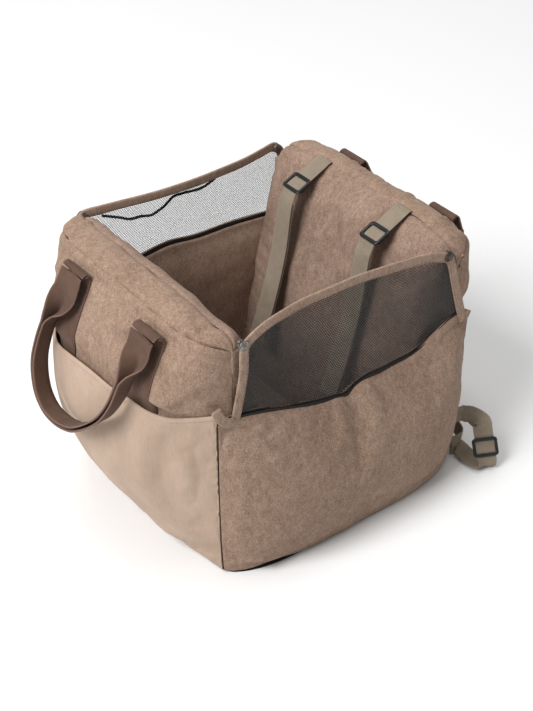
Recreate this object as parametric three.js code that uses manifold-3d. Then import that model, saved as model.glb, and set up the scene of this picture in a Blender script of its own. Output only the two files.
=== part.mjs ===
// Open-topped soft pet carrier: two padded handle walls, two low side panels with snap-on mesh
// windows, two carrying handles, two hanging straps and a seat-belt loop. Millimetres, +Z up,
// origin at the centre of the underside. The handle walls face -X (front) and +X (back), and the
// mesh windows face -Y (left) and +Y (right).
import * as THREE from 'three';
import { mergeVertices } from 'three/addons/utils/BufferGeometryUtils.js';
import Module from 'manifold-3d';

const wasm = await Module();
wasm.setup();

// ---- driving dimensions -------------------------------------------------------------------
const GAP = 0.3; // clearance between neighbouring pieces
const CLOTH = 2; // outer suede cover with its backing
const FOOT = 174; // half length at the floor, to the outer cover
const SHEET_HALF = [174, 163]; // non-slip sheet, half length and half width
const SHEET_T = 2;
const BOARD_HALF = [171, 157];
const BOARD_T = 3;
const WALL_Y = 158; // half width of a padded wall
const SEAM_Z = 310; // where the upright faces of a wall end meet its rounded top
const CROWN = 8; // how much higher a wall is in its middle
const ROUND = 20; // rise of the rounded top
const INNER_FOOT = 78; // half length of the cabin floor
const INNER_LEAN = 0.2; // slope of the inner faces
const INNER_SWELL = 16; // how far the inner faces puff into the cabin
const BELL = 4; // power of the swell across a wall: high is flat with round ends
const OVERHANG = [6, 34]; // above a pocket's mouth, where a wall swells out over it
const POCKET_T = 1.6;
const POCKET_EDGE = 0.8; // the pocket's clearance where it meets the wall
const PANEL_TOP = 220; // top edge of the side panels
const PANEL_T = 2.6;
const PANEL_Y = WALL_Y + 2.4; // inner face of a side panel
const PANEL_SWELL = 46; // how far the slack side panels stand out
const PANEL_SLACK = 43; // depth below the floor from which that swell is measured
const BASE_BOW = 26; // how far the base bows out between its corners
const LINING_T = 1.8;
const PAD_T = 18; // floor pad
const WINDOW_Y = 164.8; // middle plane of a mesh window
const HINGE_Z = 222.3; // seam that a window folds on
const BINDING_W = 11;
const BINDING_T = 2.6;
const MESH_T = 1.2;
const SNAP = [146, 319.5]; // snap fastener, distance from the middle and height
const HANDLE_W = 42; // handle webbing
const GRIP_W = 22; // the same webbing folded along its length
const GRIP_T = 6;
const WEB_W = 25; // strap and belt webbing
const WEB_T = 1.6;
const STRAP_Y = 75;

// How far the cover and the pocket of each wall swell at the ends and in the middle. They swell
// most at half of rise. mouth is the height of the pocket's mouth in the middle, and its sag, and
// room is how far the pocket stands open there.
const WALLS = {
  front: {
    side: -1, end: 5, middle: 66, bell: 6.6, power: 1.86, rise: 404, mouth: [229, 12],
    pocket: { end: 4, middle: 76, bell: 3.1, power: 0.63, rise: 338, room: 16 },
  },
  back: {
    side: 1, end: 26, middle: 6, bell: BELL, power: 0.5, rise: 400, mouth: [192, 26],
    pocket: { end: 26, middle: 16, bell: BELL, power: 0.5, rise: 400, room: 10 },
  },
};

const COLOURS = {
  suede: [0x9c8474, 0.95, 0],
  suedeInner: [0x8d7465, 0.95, 0],
  canvas: [0xb3a091, 0.9, 0],
  darkWeb: [0x6a524a, 0.85, 0],
  khakiWeb: [0x9c907c, 0.8, 0],
  mesh: [0x3a3634, 0.7, 0],
  tape: [0x242322, 0.8, 0],
  rubber: [0x1d1c1c, 0.85, 0],
  board: [0x3b3b3d, 0.6, 0],
  foam: [0xe6e2d8, 0.95, 0],
  plastic: [0x1f2428, 0.45, 0],
  snap: [0x5b564e, 0.35, 0.9],
};

const model = new THREE.Group();

function add(name, geometry, colour) {
  const [color, roughness, metalness] = COLOURS[colour];
  const material = new THREE.MeshStandardMaterial({ color, roughness, metalness });
  const mesh = new THREE.Mesh(geometry, material);
  mesh.name = name;
  model.add(mesh);
  return mesh;
}

// ---- geometry helpers ---------------------------------------------------------------------
function meshFrom(points, triangles) {
  const geometry = new THREE.BufferGeometry();
  geometry.setAttribute('position', new THREE.Float32BufferAttribute(points.flat(), 3));
  const turned = volume(points, triangles) < 0;
  geometry.setIndex(triangles.flatMap(([a, b, c]) => (turned ? [a, c, b] : [a, b, c])));
  return geometry;
}

function volume(points, triangles) {
  const corner = (i) => new THREE.Vector3(...points[i]);
  return triangles.reduce((sum, [a, b, c]) => sum + corner(a).dot(corner(b).cross(corner(c))), 0);
}

// A closed sheet of varying thickness: point(row, column, face) gives both of its faces.
function slab(rows, columns, point) {
  const points = [];
  const at = (i, j, face) => (face * (rows + 1) + i) * (columns + 1) + j;
  for (const face of [0, 1]) {
    for (let i = 0; i <= rows; i += 1) {
      for (let j = 0; j <= columns; j += 1) points.push(point(i, j, face));
    }
  }
  const triangles = [];
  const quad = (a, b, c, d) => triangles.push([a, b, c], [a, c, d]);
  for (let i = 0; i < rows; i += 1) {
    for (let j = 0; j < columns; j += 1) {
      quad(at(i, j, 0), at(i + 1, j, 0), at(i + 1, j + 1, 0), at(i, j + 1, 0));
      quad(at(i, j, 1), at(i, j + 1, 1), at(i + 1, j + 1, 1), at(i + 1, j, 1));
    }
    quad(at(i, 0, 0), at(i, 0, 1), at(i + 1, 0, 1), at(i + 1, 0, 0));
    quad(at(i, columns, 0), at(i + 1, columns, 0), at(i + 1, columns, 1), at(i, columns, 1));
  }
  for (let j = 0; j < columns; j += 1) {
    quad(at(0, j, 0), at(0, j + 1, 0), at(0, j + 1, 1), at(0, j, 1));
    quad(at(rows, j, 0), at(rows, j, 1), at(rows, j + 1, 1), at(rows, j + 1, 0));
  }
  return meshFrom(points, triangles);
}

// A solid lofted through closed rings, with flat ends. ring(i) gives [x, y, z] points.
function loft(count, ring) {
  const rings = Array.from({ length: count + 1 }, (_, i) => ring(i));
  const n = rings[0].length;
  const triangles = [];
  for (let i = 0; i < count; i += 1) {
    for (let j = 0; j < n; j += 1) {
      const k = (j + 1) % n;
      triangles.push([i * n + j, (i + 1) * n + j, (i + 1) * n + k], [i * n + j, (i + 1) * n + k, i * n + k]);
    }
  }
  const outline = rings[0].map(([x, , z]) => new THREE.Vector2(x, z));
  const cap = THREE.ShapeUtils.triangulateShape(outline, []);
  // The side walls use the first ring's edges in order, so a cap takes them in the other order.
  const forward = THREE.ShapeUtils.isClockWise(outline) ? [0, 2, 1] : [0, 1, 2];
  const sorted = cap.map((t) => forward.map((k) => t[k]));
  const last = count * n;
  triangles.push(...sorted);
  triangles.push(...sorted.map(([a, b, c]) => [last + a, last + c, last + b]));
  return meshFrom(rings.flat(), triangles);
}

// A plate that stands across Y, from an outline in X and Z.
function plateY(outline, yLow, yHigh, holes = []) {
  const shape = new THREE.Shape(outline.map(([x, z]) => new THREE.Vector2(x, z)));
  shape.holes = holes;
  const geometry = new THREE.ExtrudeGeometry(shape, { depth: yHigh - yLow, bevelEnabled: false });
  return geometry.rotateX(Math.PI / 2).translate(0, yHigh, 0);
}

// A hole runs the other way round from the clockwise outline that it is in.
function roundHole([x, z], radius) {
  const turn = (k) => (k * Math.PI) / 8;
  const rim = (k) => new THREE.Vector2(x + radius * Math.cos(turn(k)), z + radius * Math.sin(turn(k)));
  return new THREE.Path(Array.from({ length: 16 }, (_, k) => rim(k)));
}

function box(size, centre) {
  return new THREE.BoxGeometry(...size).translate(...centre);
}

function roundedPlate([halfX, halfY], radius, zLow, thickness, curveSegments = 4) {
  const shape = new THREE.Shape();
  const corners = [[1, 1, 0], [-1, 1, 1], [-1, -1, 2], [1, -1, 3]];
  for (const [sx, sy, quarter] of corners) {
    const start = (quarter * Math.PI) / 2;
    shape.absarc(sx * (halfX - radius), sy * (halfY - radius), radius, start, start + Math.PI / 2, false);
  }
  const settings = { depth: thickness, bevelEnabled: false, curveSegments };
  return new THREE.ExtrudeGeometry(shape, settings).translate(0, 0, zLow);
}

// Flat webbing along a smooth line. Each stop is [point, across direction, width, thickness].
function webbing(stops, steps) {
  const line = new THREE.CatmullRomCurve3(stops.map(([p]) => new THREE.Vector3(...p)), false, 'centripetal');
  const spread = (i, pick) => {
    const s = (i / steps) * (stops.length - 1);
    const k = Math.min(Math.floor(s), stops.length - 2);
    return pick(stops[k]).map((v, c) => THREE.MathUtils.lerp(v, pick(stops[k + 1])[c], s - k));
  };
  const frames = Array.from({ length: steps + 1 }, (_, i) => {
    const tangent = line.getTangent(i / steps);
    const normal = tangent.clone().cross(new THREE.Vector3(...spread(i, (s) => s[1]))).normalize();
    const across = normal.clone().cross(tangent).normalize();
    const [width, thickness] = spread(i, (s) => [s[2], s[3]]);
    return { at: line.getPoint(i / steps), across, normal, width, thickness };
  });
  return slab(steps, 1, (i, j, face) => {
    const f = frames[i];
    const p = f.at.clone().addScaledVector(f.across, (j - 0.5) * f.width);
    return p.addScaledVector(f.normal, (face - 0.5) * f.thickness).toArray();
  });
}

function toManifold(geometry) {
  const bare = geometry.clone();
  bare.deleteAttribute('normal');
  bare.deleteAttribute('uv');
  const merged = mergeVertices(bare, 1e-4);
  const vertProperties = new Float32Array(merged.attributes.position.array);
  const triVerts = new Uint32Array(merged.index.array);
  return new wasm.Manifold(new wasm.Mesh({ numProp: 3, vertProperties, triVerts }));
}

function fromManifold(solid) {
  const mesh = solid.getMesh();
  const geometry = new THREE.BufferGeometry();
  geometry.setAttribute('position', new THREE.Float32BufferAttribute(mesh.vertProperties, 3));
  geometry.setIndex(Array.from(mesh.triVerts));
  return geometry;
}

// ---- the shape of a padded wall -----------------------------------------------------------
const FLOOR = SHEET_T + BOARD_T + 2 * GAP; // the walls and the floor pad stand on the board
const bell = (y, power = BELL) => 1 - Math.abs(y / WALL_Y) ** power;
const seamZ = (y) => SEAM_Z + CROWN * bell(y);
const mouthZ = (wall, y) => wall.mouth[0] + wall.mouth[1] * (y / WALL_Y) ** 2;

function swellX({ end, middle, bell: flatness, power, rise }, y, z) {
  const height = Math.max(Math.sin((Math.PI * z) / rise), 0) ** power;
  return FOOT + (end + middle * bell(y, flatness)) * height;
}

// The wall lies inside its pocket, and swells out over the pocket's mouth.
function outerX(wall, y, z) {
  const full = swellX(wall, y, z);
  const room = wall.pocket.room * bell(y) * Math.sqrt(z / wall.mouth[0]);
  const tucked = swellX(wall.pocket, y, z) - room;
  const [low, high] = OVERHANG.map((rise) => mouthZ(wall, y) + rise);
  return THREE.MathUtils.lerp(tucked, full, THREE.MathUtils.smoothstep(z, low, high));
}

function innerX(y, z) {
  const height = z - PAD_T;
  const swell = INNER_SWELL * bell(y) * Math.sin((Math.PI * height) / (seamZ(y) - PAD_T));
  return INNER_FOOT + INNER_LEAN * height - Math.max(swell, 0);
}

// A point of the wall's skin: s runs 0..1 up the outer face, 1..2 over the top, 2..3 down inside.
function wallPoint(wall, y, s, inset) {
  const top = seamZ(y);
  const xOut = outerX(wall, y, top);
  const xIn = innerX(y, top);
  let x;
  let z;
  if (s <= 1) {
    z = THREE.MathUtils.lerp(FLOOR, top, s);
    x = outerX(wall, y, z) - inset;
  } else if (s < 2) {
    const angle = Math.PI * (s - 1);
    x = (xOut + xIn) / 2 + ((xOut - xIn) / 2 - inset) * Math.cos(angle);
    z = top + (ROUND - inset) * Math.sin(angle);
  } else {
    z = THREE.MathUtils.lerp(top, FLOOR, s - 2);
    x = innerX(y, z) + inset;
  }
  return [wall.side * x, y, z];
}

const spans = (from, to, count) => (
  Array.from({ length: count + 1 }, (_, i) => from + ((to - from) * i) / count)
);
const WALL_STATIONS = spans(-1, 1, 10).map((t) => WALL_Y * Math.sin((Math.PI / 2) * t));
const COVER_SEAM = 1.2; // outer edge of the top band
const BAND_SEAM = 1.62; // inner edge of the top band, where the straps are sewn in
const SEAM_GAP = 0.006;

// Where the skin's pieces have their points, so that the core's faces run parallel to theirs.
const UPRIGHT = [...spans(0, 0.56, 4), 0.64, 0.71, 0.76, 0.81, 0.87, 0.94, 1];
const OUTER_STOPS = [...UPRIGHT, (1 + COVER_SEAM) / 2, COVER_SEAM - SEAM_GAP];
const BAND_STOPS = spans(COVER_SEAM + SEAM_GAP, BAND_SEAM - SEAM_GAP, 3);
const INNER_STOPS = [BAND_SEAM + SEAM_GAP, 1.8, ...spans(2, 3, 7)];
const COVER_HEM = -(BOARD_T + GAP) / (SEAM_Z - FLOOR); // the outer cover goes down past the board

function wallSkin(wall, stops) {
  return slab(WALL_STATIONS.length - 1, stops.length - 1, (i, j, face) => (
    wallPoint(wall, WALL_STATIONS[i], stops[j], face * CLOTH)
  ));
}

function addWall(name, wall) {
  const ring = [...OUTER_STOPS, ...BAND_STOPS, ...INNER_STOPS];
  add(`${name}_wall_core`, loft(WALL_STATIONS.length - 1, (i) => (
    ring.map((s) => wallPoint(wall, WALL_STATIONS[i], s, CLOTH + GAP))
  )), 'foam');
  add(`${name}_outer_cover`, wallSkin(wall, [COVER_HEM, ...OUTER_STOPS]), 'suede');
  add(`${name}_top_band`, wallSkin(wall, BAND_STOPS), 'suede');
  add(`${name}_inner_cover`, wallSkin(wall, INNER_STOPS), 'suedeInner');
  for (const [label, sy] of [['left', -1], ['right', 1]]) addGusset(`${name}_${label}_gusset`, wall, sy);
  addPocket(`${name}_pocket`, wall);
  addHandle(name, wall);
}

// Closes the end of a wall above the side panel.
function addGusset(name, wall, sy) {
  const share = (PANEL_TOP + 1 - FLOOR) / (SEAM_Z - FLOOR);
  const upOutside = spans(share, 1, 3).map((s) => wallPoint(wall, WALL_Y, s, 0));
  const over = spans(1, 2, 6).slice(1, -1).map((s) => wallPoint(wall, WALL_Y, s, 0));
  const downInside = spans(2, 3 - share, 3).map((s) => wallPoint(wall, WALL_Y, s, 0));
  const outline = [...upOutside, ...over, ...downInside].map(([x, , z]) => [x, z]);
  const near = WALL_Y + GAP;
  const [yLow, yHigh] = sy < 0 ? [-near - LINING_T, -near] : [near, near + LINING_T];
  add(name, plateY(outline, yLow, yHigh), 'suede');
}

// A slack patch pocket over the lower part of a wall's outside.
function addPocket(name, wall) {
  const rows = WALL_STATIONS.length - 1;
  add(name, slab(rows, 8, (i, j, face) => {
    const y = WALL_STATIONS[i];
    const z = j === 0 ? SHEET_T + GAP : THREE.MathUtils.lerp(FLOOR, mouthZ(wall, y), (j - 1) / 7);
    const x = swellX(wall.pocket, y, z) + POCKET_EDGE + (1 - face) * POCKET_T;
    return [wall.side * x, y, z];
  }), 'canvas');
}

// ---- carrying handles ---------------------------------------------------------------------
// Each handle: where it hangs from its webbing tabs, out and up; the tabs' last bends; and the
// loop as [out, across, up] from one tab to the other. The front loop droops to one side.
const HANDLES = {
  front: {
    axis: [222, 314],
    ends: [-84, 66],
    tab: [[211.6, 316.5], [215, 319.6], [219.4, 317]],
    loop: [
      [224.6, -84, 308], [236, -86, 284], [250, -88, 262], [263, -84, 238], [268, -60, 207],
      [269, -14, 169], [269, 30, 151], [269, 59, 150], [269, 76, 167], [269, 79, 192],
      [266, 72, 222], [255, 74, 250], [240, 80, 280], [224.6, 66, 308],
    ],
  },
  back: {
    axis: [218.5, 312],
    ends: [-86, 86],
    tab: [[206, 318.5], [211.5, 318.5], [216, 314.6]],
    loop: [
      [221.1, -86, 307], [228, -85, 290], [235, -82, 266], [241, -80, 210], [248, -65, 165],
      [252.5, -25, 147], [252.5, 25, 147], [248, 65, 165], [241, 80, 210], [235, 82, 266],
      [228, 85, 290], [221.1, 86, 307],
    ],
  },
};

// Webbing strips sewn down a wall; their upper ends turn out into the tabs that carry a handle.
function addHandleStrips(name, wall) {
  const { ends, tab } = HANDLES[name];
  const skin = WEB_T / 2 + 4 * GAP;
  ['left', 'right'].forEach((label, k) => {
    const y = ends[k];
    // The strip lies along the wall, which falls away towards its ends.
    const fall = (z) => wall.side * (outerX(wall, y + 1, z) - outerX(wall, y - 1, z)) / 2;
    const heights = UPRIGHT.slice(4, -1).map((s) => THREE.MathUtils.lerp(FLOOR, seamZ(y), s));
    const sewn = heights.map((z) => [outerX(wall, y, z) + skin, z, fall(z)]);
    const stops = [...sewn, ...tab.map(([x, z]) => [x, z, 0])].map(([x, z, slope]) => (
      [[wall.side * x, y, z], [slope, 1, 0], HANDLE_W, WEB_T]
    ));
    add(`${name}_${label}_handle_strip`, webbing(stops, 24), 'darkWeb');
  });
}

// The loop hangs outside the wall, wide at its ends and folded lengthwise along the grip, where
// its width points outwards.
function addHandle(name, wall) {
  addHandleStrips(name, wall);
  const { loop } = HANDLES[name];
  const folded = [0, 0.5, 1];
  const stops = loop.map(([x, y, z], i) => {
    const fold = folded[Math.min(i, loop.length - 1 - i, 2)];
    const width = THREE.MathUtils.lerp(HANDLE_W, GRIP_W, fold);
    const thickness = THREE.MathUtils.lerp(WEB_T + 0.6, GRIP_T, fold);
    return [[wall.side * x, y, z], [wall.side * fold, 1 - fold, 0], width, thickness];
  });
  add(`${name}_handle`, webbing(stops, 40), 'darkWeb');
}

// ---- base ---------------------------------------------------------------------------------
// Swell of the sides along their length: flat, with round ends.
const sideBell = (t) => 1 - Math.abs(t) ** 5;

// The flexible sheet bows out under the slack sides.
function bowedSheet([halfX, halfY]) {
  const edge = spans(-1, 1, 24).map((t) => [halfX * t, halfY + BASE_BOW * sideBell(t)]);
  const outline = [...edge, ...edge.map(([x, y]) => [-x, -y])];
  const shape = new THREE.Shape(outline.map(([x, y]) => new THREE.Vector2(x, y)));
  return new THREE.ExtrudeGeometry(shape, { depth: SHEET_T, bevelEnabled: false });
}

function addBase() {
  add('non_slip_sheet', bowedSheet(SHEET_HALF), 'rubber');
  add('base_board', roundedPlate(BOARD_HALF, 6, SHEET_T + GAP, BOARD_T), 'board');
  const half = INNER_FOOT - INNER_LEAN * (PAD_T - FLOOR) - 1.5;
  add('floor_pad', slab(8, 4, (i, j, face) => {
    const [u, v] = [i / 4 - 1, j / 2 - 1];
    const crown = PAD_T - 3 * u ** 4 - 3 * v ** 4;
    return [half * v, (WALL_Y - 2) * u, face ? FLOOR + GAP : FLOOR + crown];
  }), 'suedeInner');
}

// ---- side panels --------------------------------------------------------------------------
// Front and back ends of a side panel at a height.
const panelEnds = (z) => [-outerX(WALLS.front, WALL_Y, z), outerX(WALLS.back, WALL_Y, z)];

function addSide(name, sy) {
  const heights = spans(SHEET_T + GAP, PANEL_TOP, 12);
  const stations = spans(-1, 1, 14).map((t) => Math.sin((Math.PI / 2) * t));
  // The panel is solid out to its slack face.
  add(`${name}_side_panel`, slab(14, 12, (i, j, face) => {
    const z = heights[j];
    const [low, high] = panelEnds(z);
    const share = (z + PANEL_SLACK) / (PANEL_TOP + PANEL_SLACK);
    const swell = PANEL_SWELL * sideBell(stations[i]) * Math.max(Math.sin(Math.PI * share), 0) ** 0.64;
    const x = THREE.MathUtils.mapLinear(stations[i], -1, 1, low, high);
    return [x, sy * (PANEL_Y + face * (swell + PANEL_T)), z];
  }), 'suede');
  const lining = [[-172, FLOOR], [172, FLOOR], [172, PANEL_TOP], [-172, PANEL_TOP]];
  const near = WALL_Y + GAP;
  const [yLow, yHigh] = sy < 0 ? [-near - LINING_T, -near] : [near, near + LINING_T];
  add(`${name}_inner_lining`, plateY(lining, yLow, yHigh), 'suedeInner');
  addWindow(name, sy);
}

// ---- mesh windows -------------------------------------------------------------------------
const WINDOW_FOOT = [-169, 178]; // ends of the folding seam
const WINDOW_CORNER = 155; // half length at the top corners
const WINDOW_TOP = 327; // height of the top corners
const WINDOW_ARCH = 19; // rise of the top edge
const WINDOW_LOW = HINGE_Z + 1.7;

// The window's open outline, inset from its edge, from the front foot over the top.
function windowEdge(inset) {
  const corner = WINDOW_CORNER - inset;
  const top = (x) => WINDOW_TOP - inset + WINDOW_ARCH * (1 - (x / corner) ** 2);
  const arch = spans(-corner + 5, corner - 5, 8).map((x) => [x, top(x)]);
  const shoulder = (x) => [x, WINDOW_TOP - inset - 4];
  return [
    [WINDOW_FOOT[0] + inset, WINDOW_LOW],
    shoulder(-corner - 1),
    ...arch,
    shoulder(corner + 1),
    [WINDOW_FOOT[1] - inset, WINDOW_LOW],
  ];
}

function across(sy, thickness) {
  const middle = sy * WINDOW_Y;
  return [middle - thickness / 2, middle + thickness / 2];
}

function addWindow(name, sy) {
  const holes = [-1, 1].map((sx) => roundHole([sx * SNAP[0], SNAP[1]], 2.5));
  const binding = [...windowEdge(0), ...windowEdge(BINDING_W).toReversed()];
  add(`${name}_window_binding`, plateY(binding, ...across(sy, BINDING_T), holes), 'suede');
  const inside = windowEdge(BINDING_W + GAP);
  const tapeTop = WINDOW_LOW + 9;
  const slope = (k, z) => {
    const [foot, shoulder] = k < 0 ? [inside[0], inside[1]] : [inside.at(-1), inside.at(-2)];
    return THREE.MathUtils.mapLinear(z, foot[1], shoulder[1], foot[0], shoulder[0]);
  };
  const strip = [[slope(-1, WINDOW_LOW), WINDOW_LOW], [slope(1, WINDOW_LOW), WINDOW_LOW]];
  const upper = [[slope(1, tapeTop), tapeTop], [slope(-1, tapeTop), tapeTop]];
  add(`${name}_seam_tape`, plateY([...strip, ...upper], ...across(sy, 2)), 'tape');
  const foot = tapeTop + GAP;
  const net = [[slope(-1, foot), foot], ...inside.slice(1, -1), [slope(1, foot), foot]];
  add(`${name}_mesh_window`, plateY(net, ...across(sy, MESH_T)), 'mesh');
  for (const [label, sx] of [['front', -1], ['back', 1]]) addSnap(`${name}_${label}`, sx, sy);
}

// A turned piece whose axis runs outwards along Y at a snap. Its profile is [radius, distance].
function turned(profile, sx, sy) {
  const points = profile.map(([r, y]) => new THREE.Vector2(r, y));
  const geometry = new THREE.LatheGeometry([...points, points[0]], 20);
  const solid = fromManifold(toManifold(turnedOut(geometry)));
  solid.rotateZ(sy < 0 ? Math.PI : 0);
  return solid.translate(sx * SNAP[0], 0, SNAP[1]);
}

// LatheGeometry winds its faces by the profile's direction, so an inside-out one is turned over.
function turnedOut(geometry) {
  const bare = geometry.clone();
  bare.deleteAttribute('normal');
  bare.deleteAttribute('uv');
  const merged = mergeVertices(bare, 1e-4);
  const flat = Array.from(merged.attributes.position.array);
  const points = Array.from({ length: flat.length / 3 }, (_, i) => flat.slice(3 * i, 3 * i + 3));
  const index = Array.from(merged.index.array);
  const triangles = Array.from({ length: index.length / 3 }, (_, i) => index.slice(3 * i, 3 * i + 3));
  return meshFrom(points, triangles.filter(([a, b, c]) => a !== b && b !== c && a !== c));
}

// Stud on the wall's end, socket inside the binding and cap outside it.
function addSnap(name, sx, sy) {
  const face = WALL_Y + GAP + LINING_T + GAP;
  const inside = WINDOW_Y - BINDING_T / 2 - GAP;
  const outside = WINDOW_Y + BINDING_T / 2 + GAP;
  const stud = [[0, face], [5.5, face], [5.5, face + 0.8], [1.9, face + 1], [1.9, face + 4.6], [0, face + 5]];
  add(`${name}_snap_stud`, turned(stud, sx, sy), 'snap');
  const socket = [[2.5, inside - 1.5], [5.5, inside - 1.5], [5.5, inside], [2.5, inside]];
  add(`${name}_snap_socket`, turned(socket, sx, sy), 'snap');
  const cap = [[0, outside], [6.2, outside], [6.2, outside + 0.9], [5, outside + 1.8], [0, outside + 2.2]];
  add(`${name}_snap_cap`, turned(cap, sx, sy), 'snap');
}

// ---- straps -------------------------------------------------------------------------------
// Slider for flat webbing: its end bars lie over the webbing and its middle bar under it.
// Built along X with the webbing's width on Y and its outer face up.
function sliderSolid() {
  const [length, width, barEnd, barSide] = [24, 31, 3.6, 2.4];
  const [over, under] = [4, -3.4];
  const room = WEB_T / 2 + GAP;
  const outside = roundedPlate([length / 2, width / 2], 4, under, over - under, 3);
  const opening = box([length - 2 * barEnd, width - 2 * barSide, 20], [0, 0, 0]);
  const channel = box([length + 2, width - 2 * barSide, 10], [0, 0, room - 5]);
  const bar = box([4.4, width - barSide, -room - under], [0, 0, (under - room) / 2]);
  const frame = toManifold(outside).subtract(toManifold(opening)).subtract(toManifold(channel));
  return fromManifold(frame.add(toManifold(bar)));
}

// Puts a slider on webbing at a point, with its length along `along` and its top towards `up`.
function addSlider(name, at, along, up) {
  const x = new THREE.Vector3(...along).normalize();
  const z = new THREE.Vector3(...up).addScaledVector(x, -x.dot(new THREE.Vector3(...up))).normalize();
  const y = z.clone().cross(x);
  const frame = new THREE.Matrix4().makeBasis(x, y, z).setPosition(...at);
  const slider = add(name, sliderSolid(), 'plastic');
  slider.applyMatrix4(frame);
}

const STRAP_ROOT = [155.4, 338.2]; // sewn edge in the back wall's band seam
const STRAP_BEND = [100.5, 311.6]; // end of the straight upper stretch
const STRAP_END = [47, 103];

function addStraps() {
  const [rx, rz] = STRAP_ROOT;
  const [bx, bz] = STRAP_BEND;
  const along = new THREE.Vector2(bx - rx, bz - rz);
  const reach = along.length();
  along.normalize();
  const straight = spans(0, 1, 4).map((t) => [rx + along.x * reach * t, rz + along.y * reach * t]);
  const hanging = [[95.6, 300], [92.5, 280], [86, 235], [74, 185], [60.5, 140], STRAP_END];
  for (const [label, y] of [['left', -STRAP_Y], ['right', STRAP_Y]]) {
    const stops = straight.map(([x, z]) => [[x, y, z], [0, 1, 0], WEB_W, WEB_T]);
    add(`${label}_strap_top`, webbing(stops, 4), 'khakiWeb');
    const loop = hanging.map(([x, z], i) => [[x, y, z], [0, 1, 0], WEB_W, i === 0 ? 2.4 : 4]);
    add(`${label}_strap_loop`, webbing(loop, 14), 'khakiWeb');
    const centre = reach - 13;
    const at = [rx + along.x * centre, y, rz + along.y * centre];
    addSlider(`${label}_strap_slider`, at, [along.x, 0, along.y], [-0.4, 0, 1]);
  }
}

// ---- seat-belt loop -----------------------------------------------------------------------
function addBelt() {
  const level = [0.15, -0.1, 1];
  const slant = [0.8, -0.6, 0.15];
  const top = new THREE.Vector3(209, -190, 58);
  const low = new THREE.Vector3(201.5, -213, 14);
  const straight = [0, 0.08, 0.36, 0.64, 0.92, 1].map((t) => [top.clone().lerp(low, t).toArray(), slant]);
  const route = [
    [[197.5, -167.2, 63], level],
    [[204, -176, 63.5], [0.3, -0.2, 0.9]],
    ...straight,
    [[198.8, -213.5, 7.5], [0.9, -0.4, 0]],
    [[196.5, -203, 4.6], [1, -0.1, 0]],
    [[195.5, -188, 4.6], [1, 0, 0]],
    [[196.5, -174, 7], [1, 0.1, 0]],
  ];
  const stops = route.map(([p, side]) => [p, side, WEB_W, WEB_T]);
  add('belt_loop_webbing', webbing(stops, 44), 'khakiWeb');
  const along = low.clone().sub(top);
  const up = along.clone().cross(new THREE.Vector3(...slant));
  addSlider('belt_slider', low.clone().lerp(top, 0.36).toArray(), along.toArray(), up.toArray());
  // The rest of the belt runs across the foot of the back wall to the other corner.
  const belt = [
    [[194.5, -167.5, 17], [0.4, 0, 1]],
    [[206, -158, 20], [0.1, 0, 1]],
    [[213, -120, 26], [0, 0, 1]],
    [[216, -60, 33], [0, 0, 1]],
    [[217, 0, 40], [0, 0, 1]],
    [[216, 60, 47], [0, 0, 1]],
    [[213, 120, 55], [0, 0, 1]],
    [[207, 150, 60], [0, 0, 1]],
    [[199, 164.5, 63], [0, 0, 1]],
  ];
  add('seat_belt_webbing', webbing(belt.map(([p, side]) => [p, side, WEB_W, WEB_T]), 18), 'khakiWeb');
}

addBase();
addWall('front', WALLS.front);
addWall('back', WALLS.back);
addSide('left', -1);
addSide('right', 1);
addStraps();
addBelt();

export default model;
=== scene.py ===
import math

import bpy
import numpy as np
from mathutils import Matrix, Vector
from mathutils.bvhtree import BVHTree

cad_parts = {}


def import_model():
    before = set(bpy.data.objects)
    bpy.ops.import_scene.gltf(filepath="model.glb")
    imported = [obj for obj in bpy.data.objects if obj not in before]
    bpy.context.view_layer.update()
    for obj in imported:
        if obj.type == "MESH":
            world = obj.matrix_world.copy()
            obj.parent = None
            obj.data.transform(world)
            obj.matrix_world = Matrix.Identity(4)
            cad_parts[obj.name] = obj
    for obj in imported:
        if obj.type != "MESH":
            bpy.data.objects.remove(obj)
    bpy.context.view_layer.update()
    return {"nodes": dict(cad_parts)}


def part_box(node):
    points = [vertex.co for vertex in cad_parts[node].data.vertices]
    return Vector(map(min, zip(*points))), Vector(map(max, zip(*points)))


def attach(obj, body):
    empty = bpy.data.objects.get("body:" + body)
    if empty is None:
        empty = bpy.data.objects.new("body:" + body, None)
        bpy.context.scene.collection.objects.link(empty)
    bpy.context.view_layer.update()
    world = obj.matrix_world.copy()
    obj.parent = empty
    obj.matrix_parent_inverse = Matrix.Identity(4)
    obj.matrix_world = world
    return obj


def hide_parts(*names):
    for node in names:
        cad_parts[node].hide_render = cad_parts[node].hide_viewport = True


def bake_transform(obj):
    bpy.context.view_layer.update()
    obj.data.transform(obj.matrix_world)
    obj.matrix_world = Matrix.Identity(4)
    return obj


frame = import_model()
MM = 0.001


def cad(node):
    """Lowest and highest corner of a CAD node, in millimetres."""
    low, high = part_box(node)
    return np.array(low) / MM, np.array(high) / MM


# ---- the carrier's own dimensions, from its CAD nodes, in millimetres ---------------------
WALL_Y = cad("front_outer_cover")[1][1]
FLOOR = cad("front_wall_core")[0][2]
FOOT = cad("non_slip_sheet")[1][0]
SHEET_T = cad("non_slip_sheet")[1][2]
PANEL_TOP = cad("left_side_panel")[1][2]
WINDOW_Y = cad("right_mesh_window")[0][1] + 0.6
SEAM_Z, CROWN, ROUND = 310.0, 8.0, 20.0
INNER_FOOT, PAD_T = 78.0, 18.0
# how far each wall and its pocket swell at the ends and in the middle, as in the CAD
WALLS = {
    "front": dict(side=-1, full=(5, 62, 6.6, 1.86, 404), pocket=(4, 72, 3.1, 0.63, 338),
                  room=7, over=(2, 22), sewn=(-84, 66)),
    "back": dict(side=1, full=(30, 2, 4, 0.5, 400), pocket=(16, 24, 4, 0.5, 400),
                 room=8, over=(6, 34), sewn=(-86, 86)),
}
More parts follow.
